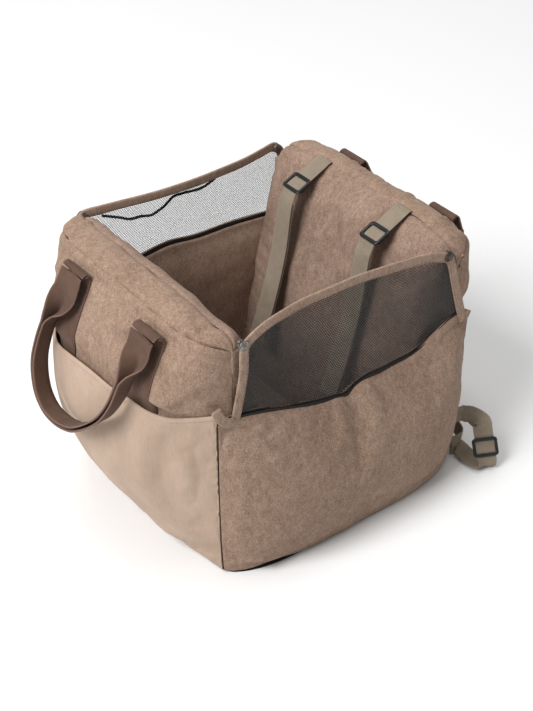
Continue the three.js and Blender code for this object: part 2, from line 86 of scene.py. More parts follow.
# height of each pocket's mouth from the left to the right
MOUTH = {
    "front": [(-158, 234), (-143, 230), (-124, 226), (-99, 228), (-75, 233), (-52, 233), (15, 231),
              (46, 227), (88, 219), (158, 236)],
    "back": [(-158, 218), (-100, 203), (0, 192), (100, 203), (158, 218)],
}


# ---- small maths --------------------------------------------------------------------------
def ease(t):
    t = np.clip(t, 0, 1)
    return t * t * (3 - 2 * t)


def curve(values, at):
    """A smooth line through [(x, value), ...], read at x."""
    xs, ys = np.array(values, float).T
    at = np.clip(at, xs[0], xs[-1])
    k = np.clip(np.searchsorted(xs, at, side="right") - 1, 0, len(xs) - 2)
    slope = np.gradient(ys, xs)
    h = xs[k + 1] - xs[k]
    t = (at - xs[k]) / h
    a, b = 2 * t**3 - 3 * t**2 + 1, t**3 - 2 * t**2 + t
    c, d = 1 - a, t**3 - t**2
    return a * ys[k] + b * h * slope[k] + c * ys[k + 1] + d * h * slope[k + 1]


def unit(v):
    return v / np.maximum(np.linalg.norm(v, axis=-1, keepdims=True), 1e-9)


def run(steps):
    """Distances from the start, from the steps between neighbours."""
    return np.concatenate([[0], np.cumsum(steps)])


def length_along(points):
    return run(np.linalg.norm(np.diff(points, axis=0), axis=1))


def waves(points, seed, size, count=14):
    """Smooth noise from -1 to 1 with features of about that size."""
    rng = np.random.RandomState(seed)
    total = 0
    for _ in range(count):
        direction = rng.normal(size=3)
        direction /= np.linalg.norm(direction)
        k = direction * 2 * math.pi / (size * rng.uniform(1.2, 2.6))
        total = total + np.sin(points @ k + rng.uniform(0, 2 * math.pi))
    return total / math.sqrt(count)


def normals_of(grid):
    return unit(np.cross(np.gradient(grid, axis=0), np.gradient(grid, axis=1)))


def resample(grid, rows, cols):
    """The grid read at fractional row and column numbers, as a smooth surface."""

    def along(g, at):
        k = np.clip(np.floor(at).astype(int), 0, len(g) - 2)
        t = (at - k)[:, None, None]
        p = [g[np.clip(k + i, 0, len(g) - 1)] for i in (-1, 0, 1, 2)]
        # past an end the line goes on straight
        p[0] = np.where((k == 0)[:, None, None], 2 * p[1] - p[2], p[0])
        p[3] = np.where((k == len(g) - 2)[:, None, None], 2 * p[2] - p[1], p[3])
        return 0.5 * (
            2 * p[1]
            + (p[2] - p[0]) * t
            + (2 * p[0] - 5 * p[1] + 4 * p[2] - p[3]) * t**2
            + (3 * p[1] - p[0] - 3 * p[2] + p[3]) * t**3
        )

    return along(along(grid, rows).transpose(1, 0, 2), cols).transpose(1, 0, 2)


def dense_ends(first, last, step, fine=(0.12, 0.3, 0.6)):
    """Row numbers from first to last, closer together at both ends, where the seams are."""
    count = max(2, int(round((last - first) / step)))
    middle = np.linspace(first, last, count + 1)
    near = [f for f in fine if f < last - first]
    stops = [middle, [first + f for f in near], [last - f for f in near]]
    return np.unique(np.round(np.concatenate(stops), 4))


FOLD = 1.5  # how deep all the folds are, against the depths that they are given


def crease(grid, line, width, depth, axes=(1, 2)):
    """Raises (or with a negative depth sinks) a fold along a line given on two of the axes."""
    line = np.array(line, float)
    p = grid[..., list(axes)]
    best = np.full(p.shape[:2], 1e9)
    share = np.zeros(p.shape[:2])
    lengths = np.linalg.norm(np.diff(line, axis=0), axis=1)
    start = np.concatenate([[0], np.cumsum(lengths)])
    for i in range(len(line) - 1):
        a, b = line[i], line[i + 1]
        t = np.clip(((p - a) @ (b - a)) / lengths[i] ** 2, 0, 1)
        d = np.linalg.norm(p - (a + t[..., None] * (b - a)), axis=2)
        closer = d < best
        best = np.where(closer, d, best)
        share = np.where(closer, (start[i] + t * lengths[i]) / start[-1], share)
    strength = np.sin(np.clip(share, 0, 1) * math.pi) ** 0.6
    shift = FOLD * depth * np.exp(-((best / width) ** 2)) * strength
    return grid + normals_of(grid) * shift[..., None]


def creases(grid, folds, axes=(1, 2)):
    for line, width, depth in folds:
        grid = crease(grid, line, width, depth, axes)
    return grid


# ---- mesh making --------------------------------------------------------------------------
def set_uv(obj, uv):
    index = np.zeros(len(obj.data.loops), np.int32)
    obj.data.loops.foreach_get("vertex_index", index)
    places = (np.asarray(uv)[index] * MM).astype(np.float32)
    obj.data.uv_layers[0].data.foreach_set("uv", places.ravel())


def mesh_object(name, verts, faces, uv=None):
    mesh = bpy.data.meshes.new(name)
    mesh.from_pydata((np.asarray(verts) * MM).tolist(), [], faces)
    mesh.polygons.foreach_set("use_smooth", [True] * len(mesh.polygons))
    mesh.update()
    obj = bpy.data.objects.new(name, mesh)
    bpy.context.scene.collection.objects.link(obj)
    if uv is not None:
        mesh.uv_layers.new(name="UVMap")
        set_uv(obj, uv)
    return obj


def grid_faces(rows, cols, first=0, flip=False):
    faces = []
    for i in range(rows - 1):
        for j in range(cols - 1):
            a = first + i * cols + j
            q = (a, a + cols, a + cols + 1, a + 1)
            faces.append(q[::-1] if flip else q)
    return faces


def grid_uv(grid):
    """Distance across (column) and along (row), in millimetres."""
    across = np.linalg.norm(np.diff(grid, axis=1), axis=2).mean(0)
    along = np.linalg.norm(np.diff(grid, axis=0), axis=2).mean(1)
    return np.stack(np.meshgrid(run(across), run(along)), axis=2).reshape(-1, 2)


def shell(name, top, low):
    """A closed piece between two grids of the same size."""
    rows, cols = top.shape[:2]
    size = rows * cols
    faces = grid_faces(rows, cols) + grid_faces(rows, cols, size, flip=True)
    edge = list(range(cols))
    edge += [i * cols + cols - 1 for i in range(1, rows)]
    edge += [(rows - 1) * cols + j for j in range(cols - 2, -1, -1)]
    edge += [i * cols for i in range(rows - 2, 0, -1)]
    faces += [(b + size, a + size, a, b) for a, b in zip(edge, edge[1:] + edge[:1])]
    return mesh_object(name, np.concatenate([top.reshape(-1, 3), low.reshape(-1, 3)]), faces)


def slab(name, grid, thickness, skin=0.0):
    """A closed sheet round a grid: skin is how much of the thickness lies outside it."""
    n = normals_of(grid)
    obj = shell(name, grid + n * thickness * skin, grid - n * thickness * (1 - skin))
    obj.data.uv_layers.new(name="UVMap")
    uv = grid_uv(grid)
    set_uv(obj, np.concatenate([uv, uv]))
    return obj


def simulate(grid, weights, pressure=4.0, cap=9.0, frames=20, spare=0.0, quality=4):
    """Blender's Cloth on a grid, puffed along its normals, with no point moved beyond cap."""
    rows, cols = grid.shape[:2]
    obj = mesh_object("cloth_run", grid.reshape(-1, 3), grid_faces(rows, cols))
    group = obj.vertex_groups.new(name="pin")
    flat = np.round(np.clip(weights, 0, 1).ravel(), 2)
    for w in np.unique(flat):
        if w > 0:
            group.add(np.nonzero(flat == w)[0].tolist(), float(w), "REPLACE")
    mod = obj.modifiers.new("Cloth", "CLOTH")
    s = mod.settings
    s.vertex_group_mass = "pin"
    s.quality = quality
    s.use_pressure = True
    s.uniform_pressure_force = pressure
    s.shrink_min = -spare
    s.effector_weights.gravity = 0
    mod.collision_settings.use_collision = False
    mod.point_cache.frame_start = 1
    mod.point_cache.frame_end = frames
    scene = bpy.context.scene
    for f in range(1, frames + 1):
        scene.frame_set(f)
    done = obj.evaluated_get(bpy.context.evaluated_depsgraph_get())
    co = np.zeros(rows * cols * 3, np.float32)
    done.data.vertices.foreach_get("co", co)
    scene.frame_set(1)
    bpy.data.objects.remove(obj)
    moved = co.astype(float).reshape(rows, cols, 3) / MM - grid
    size = np.linalg.norm(moved, axis=2, keepdims=True)
    return grid + moved * np.minimum(1, cap / np.maximum(size, 1e-9))


# ---- the shape of a padded wall -----------------------------------------------------------
def bell(y, power=4):
    return 1 - np.minimum(np.abs(y) / WALL_Y, 1) ** power


def seam_z(y):
    return SEAM_Z + CROWN * bell(y)


def swell_x(shape, y, z):
    end, middle, flatness, power, rise = shape
    height = np.maximum(np.sin(math.pi * z / rise), 0) ** power
    return FOOT + (end + middle * bell(y, flatness)) * height


def outer_x(w, y, z):
    """The wall lies inside its pocket and swells out over the pocket's mouth."""
    full = swell_x(w["full"], y, z)
    mouth = curve(MOUTH["front" if w["side"] < 0 else "back"], y)
    room = w["room"] * bell(y) * np.sqrt(np.clip(z / mouth, 0, 1.2))
    tucked = swell_x(w["pocket"], y, z) - room
    share = ease((z - mouth - w["over"][0]) / (w["over"][1] - w["over"][0]))
    return tucked + (full - tucked) * share


def inner_x(y, z):
    h = z - PAD_T
    swell = 12 * bell(y) * np.sin(math.pi * h / (seam_z(y) - PAD_T))
    return INNER_FOOT + 0.2 * h - np.maximum(swell, 0)


def wall_ring(w, y, s, inset):
    """Points of a wall's skin: s is 0..1 up the outside, 1..2 over the top, 2..3 down inside."""
    top = seam_z(y)
    xo, xi = outer_x(w, y, top), inner_x(y, top)
    z1 = FLOOR + (top - FLOOR) * s
    angle = math.pi * (np.clip(s, 1, 2) - 1)
    z2 = top + (ROUND - inset) * np.sin(angle)
    x2 = (xo + xi) / 2 + ((xo - xi) / 2 - inset) * np.cos(angle)
    z3 = top + (FLOOR - top) * (s - 2)
    x = np.where(s <= 1, outer_x(w, y, z1) - inset, np.where(s < 2, x2, inner_x(y, z3) + inset))
    z = np.where(s <= 1, z1, np.where(s < 2, z2, z3))
    return w["side"] * x, z


BAND_OUT, BAND_IN = 1.2, 1.62


def wall_rows():
    """Ring stops about 6 mm apart, and the row numbers of the two band seams."""
    outer = np.linspace(-0.01, 1, 50)[:-1]
    over = np.linspace(1, BAND_OUT, 5)[:-1]
    band = np.linspace(BAND_OUT, BAND_IN, 10)[:-1]
    down = np.linspace(BAND_IN, 2, 8)[:-1]
    inner = np.linspace(2, 3, 50)
    seam_a = len(outer) + len(over)
    return np.concatenate([outer, over, band, down, inner]), seam_a, seam_a + len(band)


CAP_STEPS = [1.0, 0.6, 0.3, 0.12]
TURN_STEPS = [90, 66, 44, 22]
MAIN = 50


def wall_base(w, corner):
    """The wall's grid before the cloth run: rows round the section, columns along Y."""
    stops, seam_a, seam_b = wall_rows()
    s = stops[:, None]
    ends = [("cap", t) for t in CAP_STEPS] + [("turn", a) for a in TURN_STEPS]
    column = [(-1, kind, t) for kind, t in ends]
    column += [(0, "main", f) for f in np.linspace(-1, 1, MAIN + 1)]
    column += [(1, kind, t) for kind, t in reversed(ends)]
    z_mid = wall_ring(w, np.zeros_like(s), s, 0)[1]
    radius = corner(s, z_mid)
    half = WALL_Y - 0.4 + 2.2 * ease((z_mid - 214) / 22)
    grid = np.zeros((len(stops), len(column), 3))
    for j, (sign, kind, t) in enumerate(column):
        if kind == "main":
            y, inset = (half - radius) * t, 0 * s
        elif kind == "turn":
            a = math.radians(t)
            y, inset = sign * (half - radius + radius * math.sin(a)), radius * (1 - math.cos(a))
        else:
            y, inset = sign * half, radius
        x, z = wall_ring(w, y, s, inset)
        if kind == "cap":
            mx = w["side"] * (outer_x(w, y, z) + inner_x(y, np.minimum(z, seam_z(y)))) / 2
            mz = np.minimum(z, seam_z(y) - 30)
            # the end bulges a little between its edges
            x, z = x + (mx - x) * t, z + (mz - z) * t
        grid[:, j] = np.concatenate([x, y, z], axis=1)
    return grid, seam_a, seam_b


def wall_weights(grid, seam_a, seam_b, sewn):
    """How firmly each point is held: seams, hems, the wall's ends and the sewn-on webbing."""
    rows, cols = grid.shape[:2]
    w = np.zeros((rows, cols))
    w[[0, 1, rows - 1, rows - 2]] = 1
    w[[seam_a, seam_b]] = 0.9
    ends = len(CAP_STEPS)
    w[:, :ends] = 1
    w[:, cols - ends:] = 1
    low = grid[:, :, 2] < 226
    w[:, : ends + 3] = np.where(low[:, : ends + 3], 1, w[:, : ends + 3])
    w[:, cols - ends - 3:] = np.where(low[:, cols - ends - 3:], 1, w[:, cols - ends - 3:])
    y, z = grid[..., 1], grid[..., 2]
    outside = np.arange(rows)[:, None] < seam_a
    for y0 in sewn:
        at = outside & (np.abs(y - y0) < 21) & (z > 170)
        w = np.where(at, 0.85, w)
    return w


def seam_dip(grid, edges, depth=1.8, width=2.6):
    """Sinks a panel towards its sewn edges. edges are row positions along the panel."""
    along = run(np.linalg.norm(np.diff(grid, axis=0), axis=2).mean(1))
    shift = np.zeros(len(grid))
    for e in edges:
        shift -= depth * np.exp(-(((along - along[e]) / width) ** 2))
    return grid + normals_of(grid) * shift[:, None, None]


# ---- materials ----------------------------------------------------------------------------
class Nodes:
    """A material's node tree, with short ways to add the nodes that the fabrics use."""

    def __init__(self, name, roughness=0.9):
        self.material = bpy.data.materials.new(name)
        self.material.use_nodes = True
        self.tree = self.material.node_tree
        self.bsdf = self.tree.nodes["Principled BSDF"]
        self.bsdf.inputs["Roughness"].default_value = roughness
        self.coords = self.tree.nodes.new("ShaderNodeTexCoord")

    def add(self, kind, links=None, **settings):
        node = self.tree.nodes.new(kind)
        for key, value in settings.items():
            setattr(node, key, value)
        for key, value in (links or {}).items():
            socket = node.inputs[key]
            if isinstance(value, bpy.types.NodeSocket):
                self.tree.links.new(value, socket)
            else:
                socket.default_value = value
        return node

    def place(self, scale=(1, 1, 1), turn=(0, 0, 0), uv=False):
        source = self.coords.outputs["UV" if uv else "Object"]
        links = {"Vector": source, "Scale": scale, "Rotation": turn}
        return self.add("ShaderNodeMapping", links).outputs["Vector"]

    def noise(self, vector, scale, detail=3.0, rough=0.55):
        links = {"Vector": vector, "Scale": scale, "Detail": detail, "Roughness": rough}
        return self.add("ShaderNodeTexNoise", links).outputs["Fac"]

    def wave(self, vector, scale, direction="Y", distortion=0.0):
        links = {"Vector": vector, "Scale": scale, "Distortion": distortion}
        return self.add("ShaderNodeTexWave", links, bands_direction=direction).outputs["Fac"]

    def math(self, operation, a, b=0.0, clamp=False):
        node = self.add("ShaderNodeMath", {0: a, 1: b}, operation=operation, use_clamp=clamp)
        return node.outputs[0]

    def ramp(self, fac, stops):
        node = self.add("ShaderNodeValToRGB", {"Fac": fac})
        line = node.color_ramp
        while len(line.elements) < len(stops):
            line.elements.new(0.5)
        for e, (at, colour) in zip(line.elements, stops):
            e.position, e.color = at, (*colour, 1)
        return node.outputs["Color"]

    def mix(self, fac, a, b):
        node = self.add("ShaderNodeMix", {0: fac}, data_type="RGBA")
        for socket, value in ((node.inputs[6], a), (node.inputs[7], b)):
            if isinstance(value, bpy.types.NodeSocket):
                self.tree.links.new(value, socket)
            else:
                socket.default_value = (*value, 1)
        return node.outputs[2]

    def finish(self, colour, height=None, strength=0.4, distance=0.0006, roughness=None):
        self.tree.links.new(colour, self.bsdf.inputs["Base Color"])
        if roughness is not None:
            self.tree.links.new(roughness, self.bsdf.inputs["Roughness"])
        if height is not None:
            links = {"Height": height, "Strength": strength, "Distance": distance}
            bump = self.add("ShaderNodeBump", links)
            self.tree.links.new(bump.outputs["Normal"], self.bsdf.inputs["Normal"])
        return self.material


def srgb(r, g, b):
    """A colour given as it looks on a screen, 0 to 255."""
    return tuple(((c / 255 + 0.055) / 1.055) ** 2.4 if c > 10 else c / 3294 for c in (r, g, b))


def sheen(nodes, weight, rough, tint):
    nodes.bsdf.inputs["Sheen Weight"].default_value = weight
    nodes.bsdf.inputs["Sheen Roughness"].default_value = rough
    nodes.bsdf.inputs["Sheen Tint"].default_value = (*tint, 1)
    nodes.bsdf.inputs["Specular IOR Level"].default_value = 0.15


def suede(name, light, middle, dark):
    """Brushed faux suede: soft patches of nap, a crushed streaky grain and a fine pile."""
    n = Nodes(name, 0.95)
    sheen(n, 0.15, 0.5, srgb(235, 215, 200))
    patches = n.noise(n.place((1, 1, 1.25)), 14, 2.0, 0.5)
    crushed = n.noise(n.place((1, 1, 0.7), (0.3, 0.2, 0.4)), 70, 4.0, 0.62)
    streaks = n.noise(n.place((1, 1, 0.55), (0.2, 0.5, 0.1)), 190, 3.0, 0.65)
    pile = n.noise(n.place(), 560, 2.0, 0.7)
    fac = n.math("MULTIPLY", patches, 0.14)
    for part, weight in ((crushed, 0.15), (streaks, 0.27), (pile, 0.44)):
        fac = n.math("ADD", fac, n.math("MULTIPLY", part, weight))
    colour = n.ramp(fac, [(0.38, dark), (0.50, middle), (0.62, light)])
    height = n.math("ADD", n.math("MULTIPLY", streaks, 0.6), n.math("MULTIPLY", pile, 0.7))
    return n.finish(colour, height, 0.4, 0.0007)


def plain_cloth(name, light, dark, scale=330.0, strength=0.35, patch=0.5):
    """Fine close-woven cloth, with threads both ways and uneven dyeing."""
    n = Nodes(name, 0.9)
    sheen(n, 0.15, 0.5, srgb(240, 225, 210))
    uv = n.place(uv=True)
    weave = n.math("MULTIPLY", n.wave(uv, scale, "X", 0.6), n.wave(uv, scale, "Y", 0.6))
    patches = n.noise(n.place((1, 1, 0.6)), 22, 4.0, 0.6)
    slub = n.noise(n.place((1, 1, 0.2)), 420, 2.0, 0.6)
    fac = n.math("ADD", n.math("MULTIPLY", patches, patch), n.math("MULTIPLY", weave, 0.28))
    fac = n.math("ADD", fac, n.math("MULTIPLY", slub, 0.28))
    colour = n.ramp(fac, [(0.30, dark), (0.72, light)])
    return n.finish(colour, weave, strength, 0.0005)


def ribbed_webbing(name, light, dark, width, pitch, edge, skew=0.0):
    """Woven webbing: ribs across it, threads along it and a tight selvage at each edge."""
    n = Nodes(name, 0.8)
    sheen(n, 0.12, 0.4, srgb(220, 205, 190))
    uv = n.place(uv=True)
    ribs = n.wave(n.place((1, 1, 1), (0, 0, skew), uv=True), 0.31416 / pitch, "Y", 0.4)
    threads = n.wave(uv, 0.31416 / 0.0011, "X", 0.8)
    wear = n.noise(n.place(), 60, 4.0, 0.6)
    fac = n.math("ADD", n.math("MULTIPLY", ribs, 0.42), n.math("MULTIPLY", threads, 0.16))
    fac = n.math("ADD", fac, n.math("MULTIPLY", wear, 0.42))
    colour = n.ramp(fac, [(0.25, dark), (0.75, light)])
    split = n.add("ShaderNodeSeparateXYZ", {0: n.coords.outputs["UV"]})
    centre = n.math("ABSOLUTE", n.math("SUBTRACT", split.outputs[0], width / 2))
    rim = n.math("MULTIPLY", n.math("SUBTRACT", centre, width / 2 - 0.0016), 900, clamp=True)
    colour = n.mix(rim, colour, edge)
    height = n.math("ADD", ribs, n.math("MULTIPLY", threads, 0.35))
    return n.finish(colour, height, 0.6, 0.0007)


def netting(name, thread, cover, pitch=0.0021):
    """Open mesh: staggered holes between fine threads, seen through where there is no thread."""
    n = Nodes(name, 0.6)
    links = {
        "Vector": n.place(uv=True), "Scale": 1.0, "Brick Width": pitch * 1.15,
        "Row Height": pitch * 0.85, "Mortar Size": pitch * cover, "Mortar Smooth": 0.25,
        "Color1": (0, 0, 0, 1), "Color2": (0, 0, 0, 1), "Mortar": (1, 1, 1, 1),
    }
    holes = n.add("ShaderNodeTexBrick", links, offset=0.5)
    shade = n.noise(n.place(), 45, 3.0, 0.6)
    colour = n.ramp(shade, [(0.3, tuple(c * 0.7 for c in thread)), (0.7, thread)])
    n.finish(colour, holes.outputs["Fac"], 0.3, 0.0004)
    clear = n.add("ShaderNodeBsdfTransparent")
    both = n.add("ShaderNodeMixShader", {0: holes.outputs["Fac"]})
    n.tree.links.new(clear.outputs[0], both.inputs[1])
    n.tree.links.new(n.bsdf.outputs[0], both.inputs[2])
    n.tree.links.new(both.outputs[0], n.tree.nodes["Material Output"].inputs["Surface"])
    return n.material


def moulded(name, colour, rough, grain=900.0):
    """Moulded plastic with a fine satin texture and rubbed, slightly shinier patches."""
    n = Nodes(name, rough)
    fine = n.noise(n.place(), grain, 2.0, 0.6)
    rub = n.noise(n.place(), 70, 3.0, 0.6)
    tint = n.ramp(rub, [(0.3, tuple(c * 0.75 for c in colour)), (0.7, colour)])
    shine = n.math("ADD", n.math("MULTIPLY", rub, 0.22), rough - 0.1)
    return n.finish(tint, fine, 0.15, 0.0002, shine)


def burnished(name, light, dark):
    """Antique-finished metal, darker and rubbed bright in uneven random patches."""
    n = Nodes(name, 0.4)
    n.bsdf.inputs["Metallic"].default_value = 0.85
    rub = n.noise(n.place(), 260, 4.0, 0.65)
    tint = n.ramp(rub, [(0.35, dark), (0.65, light)])
    rough = n.math("ADD", n.math("MULTIPLY", rub, 0.35), 0.22)
    return n.finish(tint, n.noise(n.place(), 1500, 2.0, 0.5), 0.1, 0.0001, rough)


SUEDE = suede("suede_taupe", srgb(158, 136, 119), srgb(138, 115, 99), srgb(114, 91, 76))
SUEDE_IN = suede("suede_inside", srgb(156, 134, 119), srgb(136, 113, 99), srgb(110, 88, 75))
# painted light: a lighter copy of the suede for the side linings, standing in for fill light inside the
# carrier
LINING_PAINTED_FILL_LIGHT = suede("suede_lining", srgb(174, 150, 133), srgb(152, 128, 112), srgb(126, 102, 88))
PIPING = suede("suede_binding", srgb(168, 147, 131), srgb(148, 125, 109), srgb(124, 102, 87))
CANVAS = plain_cloth("pocket_canvas", srgb(182, 161, 144), srgb(158, 136, 119))
DARK_WEB = ribbed_webbing("handle_webbing", srgb(108, 83, 71), srgb(66, 48, 40), 0.042, 0.0017,
                          srgb(112, 88, 76))
KHAKI_WEB = ribbed_webbing("strap_webbing", srgb(158, 145, 127), srgb(112, 100, 86), 0.025,
                           0.0013, srgb(142, 130, 115), 0.5)
# painted light and shade: the same netting in two copies, the near window's denser with darker thread as
# painted shade, the far window's sparser with lighter thread as painted light
NET = {"left": netting("window_net_near_painted_shade", srgb(30, 28, 27), 0.165, 0.0024),
       "right": netting("window_net_far_painted_light", srgb(40, 38, 37), 0.085, 0.0024)}
TAPE = plain_cloth("seam_tape", srgb(52, 50, 49), srgb(22, 21, 21), 500.0, 0.4)
RUBBER = plain_cloth("non_slip_cloth", srgb(46, 44, 44), srgb(20, 19, 19), 160.0, 0.8)
PLASTIC = moulded("black_plastic", srgb(14, 16, 18), 0.3)
METAL = burnished("antique_metal", srgb(150, 146, 138), srgb(70, 64, 58))
# painted shade: a darker copy of the antique metal, for the snap caps at the back end, away from the key
# light
METAL_PAINTED_SHADE = burnished("metal_painted_shade", srgb(92, 84, 76), srgb(34, 30, 28))
THREAD = plain_cloth("sewing_thread", srgb(150, 128, 115), srgb(105, 84, 74), 700.0)
DARK_THREAD = plain_cloth("dark_thread", srgb(96, 76, 67), srgb(56, 42, 37), 700.0)


def dress(obj, material):
    obj.data.materials.clear()
    obj.data.materials.append(material)
    return obj


# ---- walls --------------------------------------------------------------------------------
def build_wall(name):
    w = WALLS[name]
    side = w["side"]

    def corner(s, z):
        high = ease((z - 205) / 45)
        return np.where(s < 2, 3 + (17 if side < 0 else 20) * high, 3 + 9 * high)

    grid, seam_a, seam_b = wall_base(w, corner)
    if side > 0:
        grid = grid[:, ::-1]
    weights = wall_weights(grid, seam_a, seam_b, w["sewn"])
    grid = simulate(grid, weights, pressure=5.0, cap=8.0, spare=0.012)
    finish_wall(name, grid, seam_a, seam_b)


WALL_SURFACE = {}


def finish_wall(name, grid, seam_a, seam_b):
    rows, cols = grid.shape[:2]
    columns = np.linspace(0, cols - 1, (cols - 1) * 2 + 1)
    parts = [
        ("outer_cover", 0, seam_a, SUEDE, "suede"),
        ("top_band", seam_a, seam_b, SUEDE, "suede"),
        ("inner_cover", seam_b, rows - 1, SUEDE_IN, "suede_lining"),
    ]
    for label, first, last, material, slot in parts:
        at = dense_ends(first, last, 0.5)
        piece = resample(grid, at, columns)
        edges = [e for e, real in ((0, first > 0), (len(piece) - 1, last < rows - 1)) if real]
        plan = (0, 1) if label == "top_band" else (1, 2)
        piece = creases(piece, WALL_FOLDS.get((name, label), []), plan)
        soft = waves(piece, 5 + len(label), 38, 16) + waves(piece, 11, 15, 16) * 0.24
        piece = seam_dip(piece + normals_of(piece) * soft[..., None], edges)
        WALL_SURFACE[name, label] = piece
        obj = dress(slab(f"{name}_{label}_cloth", piece, 1.6), material)
        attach(obj, "carrier")
    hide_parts(f"{name}_outer_cover", f"{name}_wall_core")
    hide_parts(f"{name}_top_band")
    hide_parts(f"{name}_inner_cover", f"{name}_left_gusset", f"{name}_right_gusset")


# folds: a line (Y and Z, or X and Y on the band), its width and how far it is raised
WALL_FOLDS = {
    ("front", "outer_cover"): [
        ([(-106, 302), (-124, 290), (-148, 270)], 5, 2.4),
        ([(-106, 292), (-120, 268), (-146, 248)], 6, -2.4),
        ([(-62, 306), (-40, 296), (-8, 290)], 6, 2.6),
        ([(-60, 294), (-44, 268), (-38, 236)], 7, 2.0),
        ([(-60, 300), (-38, 284), (-6, 276)], 6, -2.2),
        ([(44, 306), (26, 300), (4, 298)], 5, 2.4),
        ([(44, 292), (30, 262), (26, 236)], 6, 2.0),
        ([(90, 304), (112, 296), (140, 284)], 6, 2.4),
        ([(90, 292), (110, 272), (134, 256)], 6, -2.2),
        ([(-110, 270), (-124, 246), (-128, 230)], 7, 2.2),
        ([(-150, 262), (-138, 246), (-118, 238)], 5, -3.0),
        ([(-20, 262), (10, 255), (38, 262)], 11, -2.4),
    ],
    ("front", "top_band"): [
        ([(-200, -60), (-180, -66), (-162, -64)], 5, 2.2),
        ([(-206, -100), (-184, -108), (-160, -112)], 5, 2.4),
        ([(-204, -125), (-180, -132), (-150, -130)], 5, -2.6),
        ([(-204, 104), (-184, 118), (-150, 128)], 4, 2.6),
        ([(-204, 120), (-182, 134), (-146, 142)], 4, -2.6),
        ([(-202, 138), (-176, 144), (-150, 150)], 4, 2.2),
        ([(-202, 50), (-184, 54), (-166, 56)], 5, 2.0),
        ([(-196, 10), (-176, 0), (-160, 4)], 7, -2.0),
    ],
    ("back", "inner_cover"): [
        ([(-110, 322), (-120, 290), (-108, 240), (-112, 190)], 8, -3.4),
        ([(-60, 325), (-50, 295), (-58, 260)], 7, -3.2),
        ([(-20, 322), (-8, 290), (-22, 245), (-16, 200)], 11, 2.6),
        ([(20, 310), (-6, 270), (-30, 250)], 10, -2.4),
        ([(30, 322), (24, 295), (40, 262)], 7, -2.8),
        ([(100, 322), (112, 285), (104, 240)], 7, -2.8),
        ([(130, 306), (138, 260), (130, 210)], 6, 2.4),
        ([(-140, 304), (-146, 260), (-136, 215)], 6, 2.6),
        ([(-150, 292), (-128, 268), (-100, 262)], 6, -2.6),
    ],
    ("back", "outer_cover"): [
        ([(-108, 304), (-130, 284), (-148, 250)], 6, 2.8),
        ([(-108, 290), (-126, 262), (-150, 232)], 6, -2.8),
        ([(-64, 300), (-40, 286), (-12, 290)], 6, 2.4),
        ([(64, 300), (36, 288), (10, 292)], 6, 2.4),
        ([(108, 300), (130, 276), (146, 246)], 6, 2.6),
        ([(-130, 330), (-142, 300), (-146, 268)], 6, -3.0),
    ],
    ("back", "top_band"): [
        ([(200, -110), (180, -118), (160, -112)], 5, 1.8),
        ([(200, -138), (180, -132), (164, -126)], 5, -1.8),
        ([(200, -60), (182, -50), (160, -52)], 5, 1.6),
        ([(200, 60), (182, 50), (160, 54)], 5, 1.4),
    ],
}
for wall_name in WALLS:
    build_wall(wall_name)


def wall_tree(name):
    g = WALL_SURFACE[name, "outer_cover"]
    return BVHTree.FromPolygons([Vector(p) for p in g.reshape(-1, 3)], grid_faces(*g.shape[:2]))


OUTSIDE = {name: wall_tree(name) for name in WALLS}


def surface_x(tree, side, y, z, default):
    """Where a line along X from outside meets the cloth."""
    hit = tree.ray_cast(Vector((side * 400, y, z)), Vector((-side, 0, 0)))[0]
    return side * hit.x if hit else default


# ---- pockets ------------------------------------------------------------------------------
def build_pocket(name):
    w = WALLS[name]
    side = w["side"]
    ys = WALL_Y * np.sin(np.linspace(-1, 1, 57) * math.pi / 2) * 1.008
    grid = np.zeros((40, len(ys), 3))
    top = curve(MOUTH[name], ys)
    for i in range(40):
        t = i / 39
        z = SHEET_T + 0.3 + (top - SHEET_T - 0.3) * t
        x = swell_x(w["pocket"], np.clip(ys, -WALL_Y, WALL_Y), z) + 1.4
        grid[i] = np.stack([side * x, ys, z], axis=1)
    if side > 0:
        grid = grid[:, ::-1]
    weights = np.zeros(grid.shape[:2])
    weights[[0, 1]] = 1
    weights[:, [0, 1, -1, -2]] = 1
    weights[-1] = 0.92
    grid = simulate(grid, weights, pressure=2.0, cap=6.0, spare=0.008)
    fine = resample(grid, dense_ends(0, 39, 0.5), np.linspace(0, 56, 169))
    slack = waves(fine, 31 if side < 0 else 47, 60, 12) + waves(fine, 7, 22, 14) * 0.3
    u = np.abs(fine[..., 1]) / WALL_Y
    slack *= 1 - ease((u - 0.9) / 0.1)
    fine = creases(fine + normals_of(fine) * slack[..., None], POCKET_FOLDS[name])
    # the mouth lies against the padded wall
    tree = OUTSIDE[name]
    for j in range(fine.shape[1]):
        for i in range(fine.shape[0]):
            x, y, z = fine[i, j]
            base = surface_x(tree, side, y, z, side * x - 4)
            fine[i, j, 0] = side * max(base + 1.9, side * x)
    obj = dress(slab(f"{name}_pocket_cloth", fine, 1.3, 0.5), CANVAS)
    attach(obj, "carrier")
    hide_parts(f"{name}_pocket")
    hem = hem_roll(f"{name}_pocket_hem", fine[-1], fine[-4], 1.5)
    dress(hem, CANVAS)
    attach(hem, "carrier")


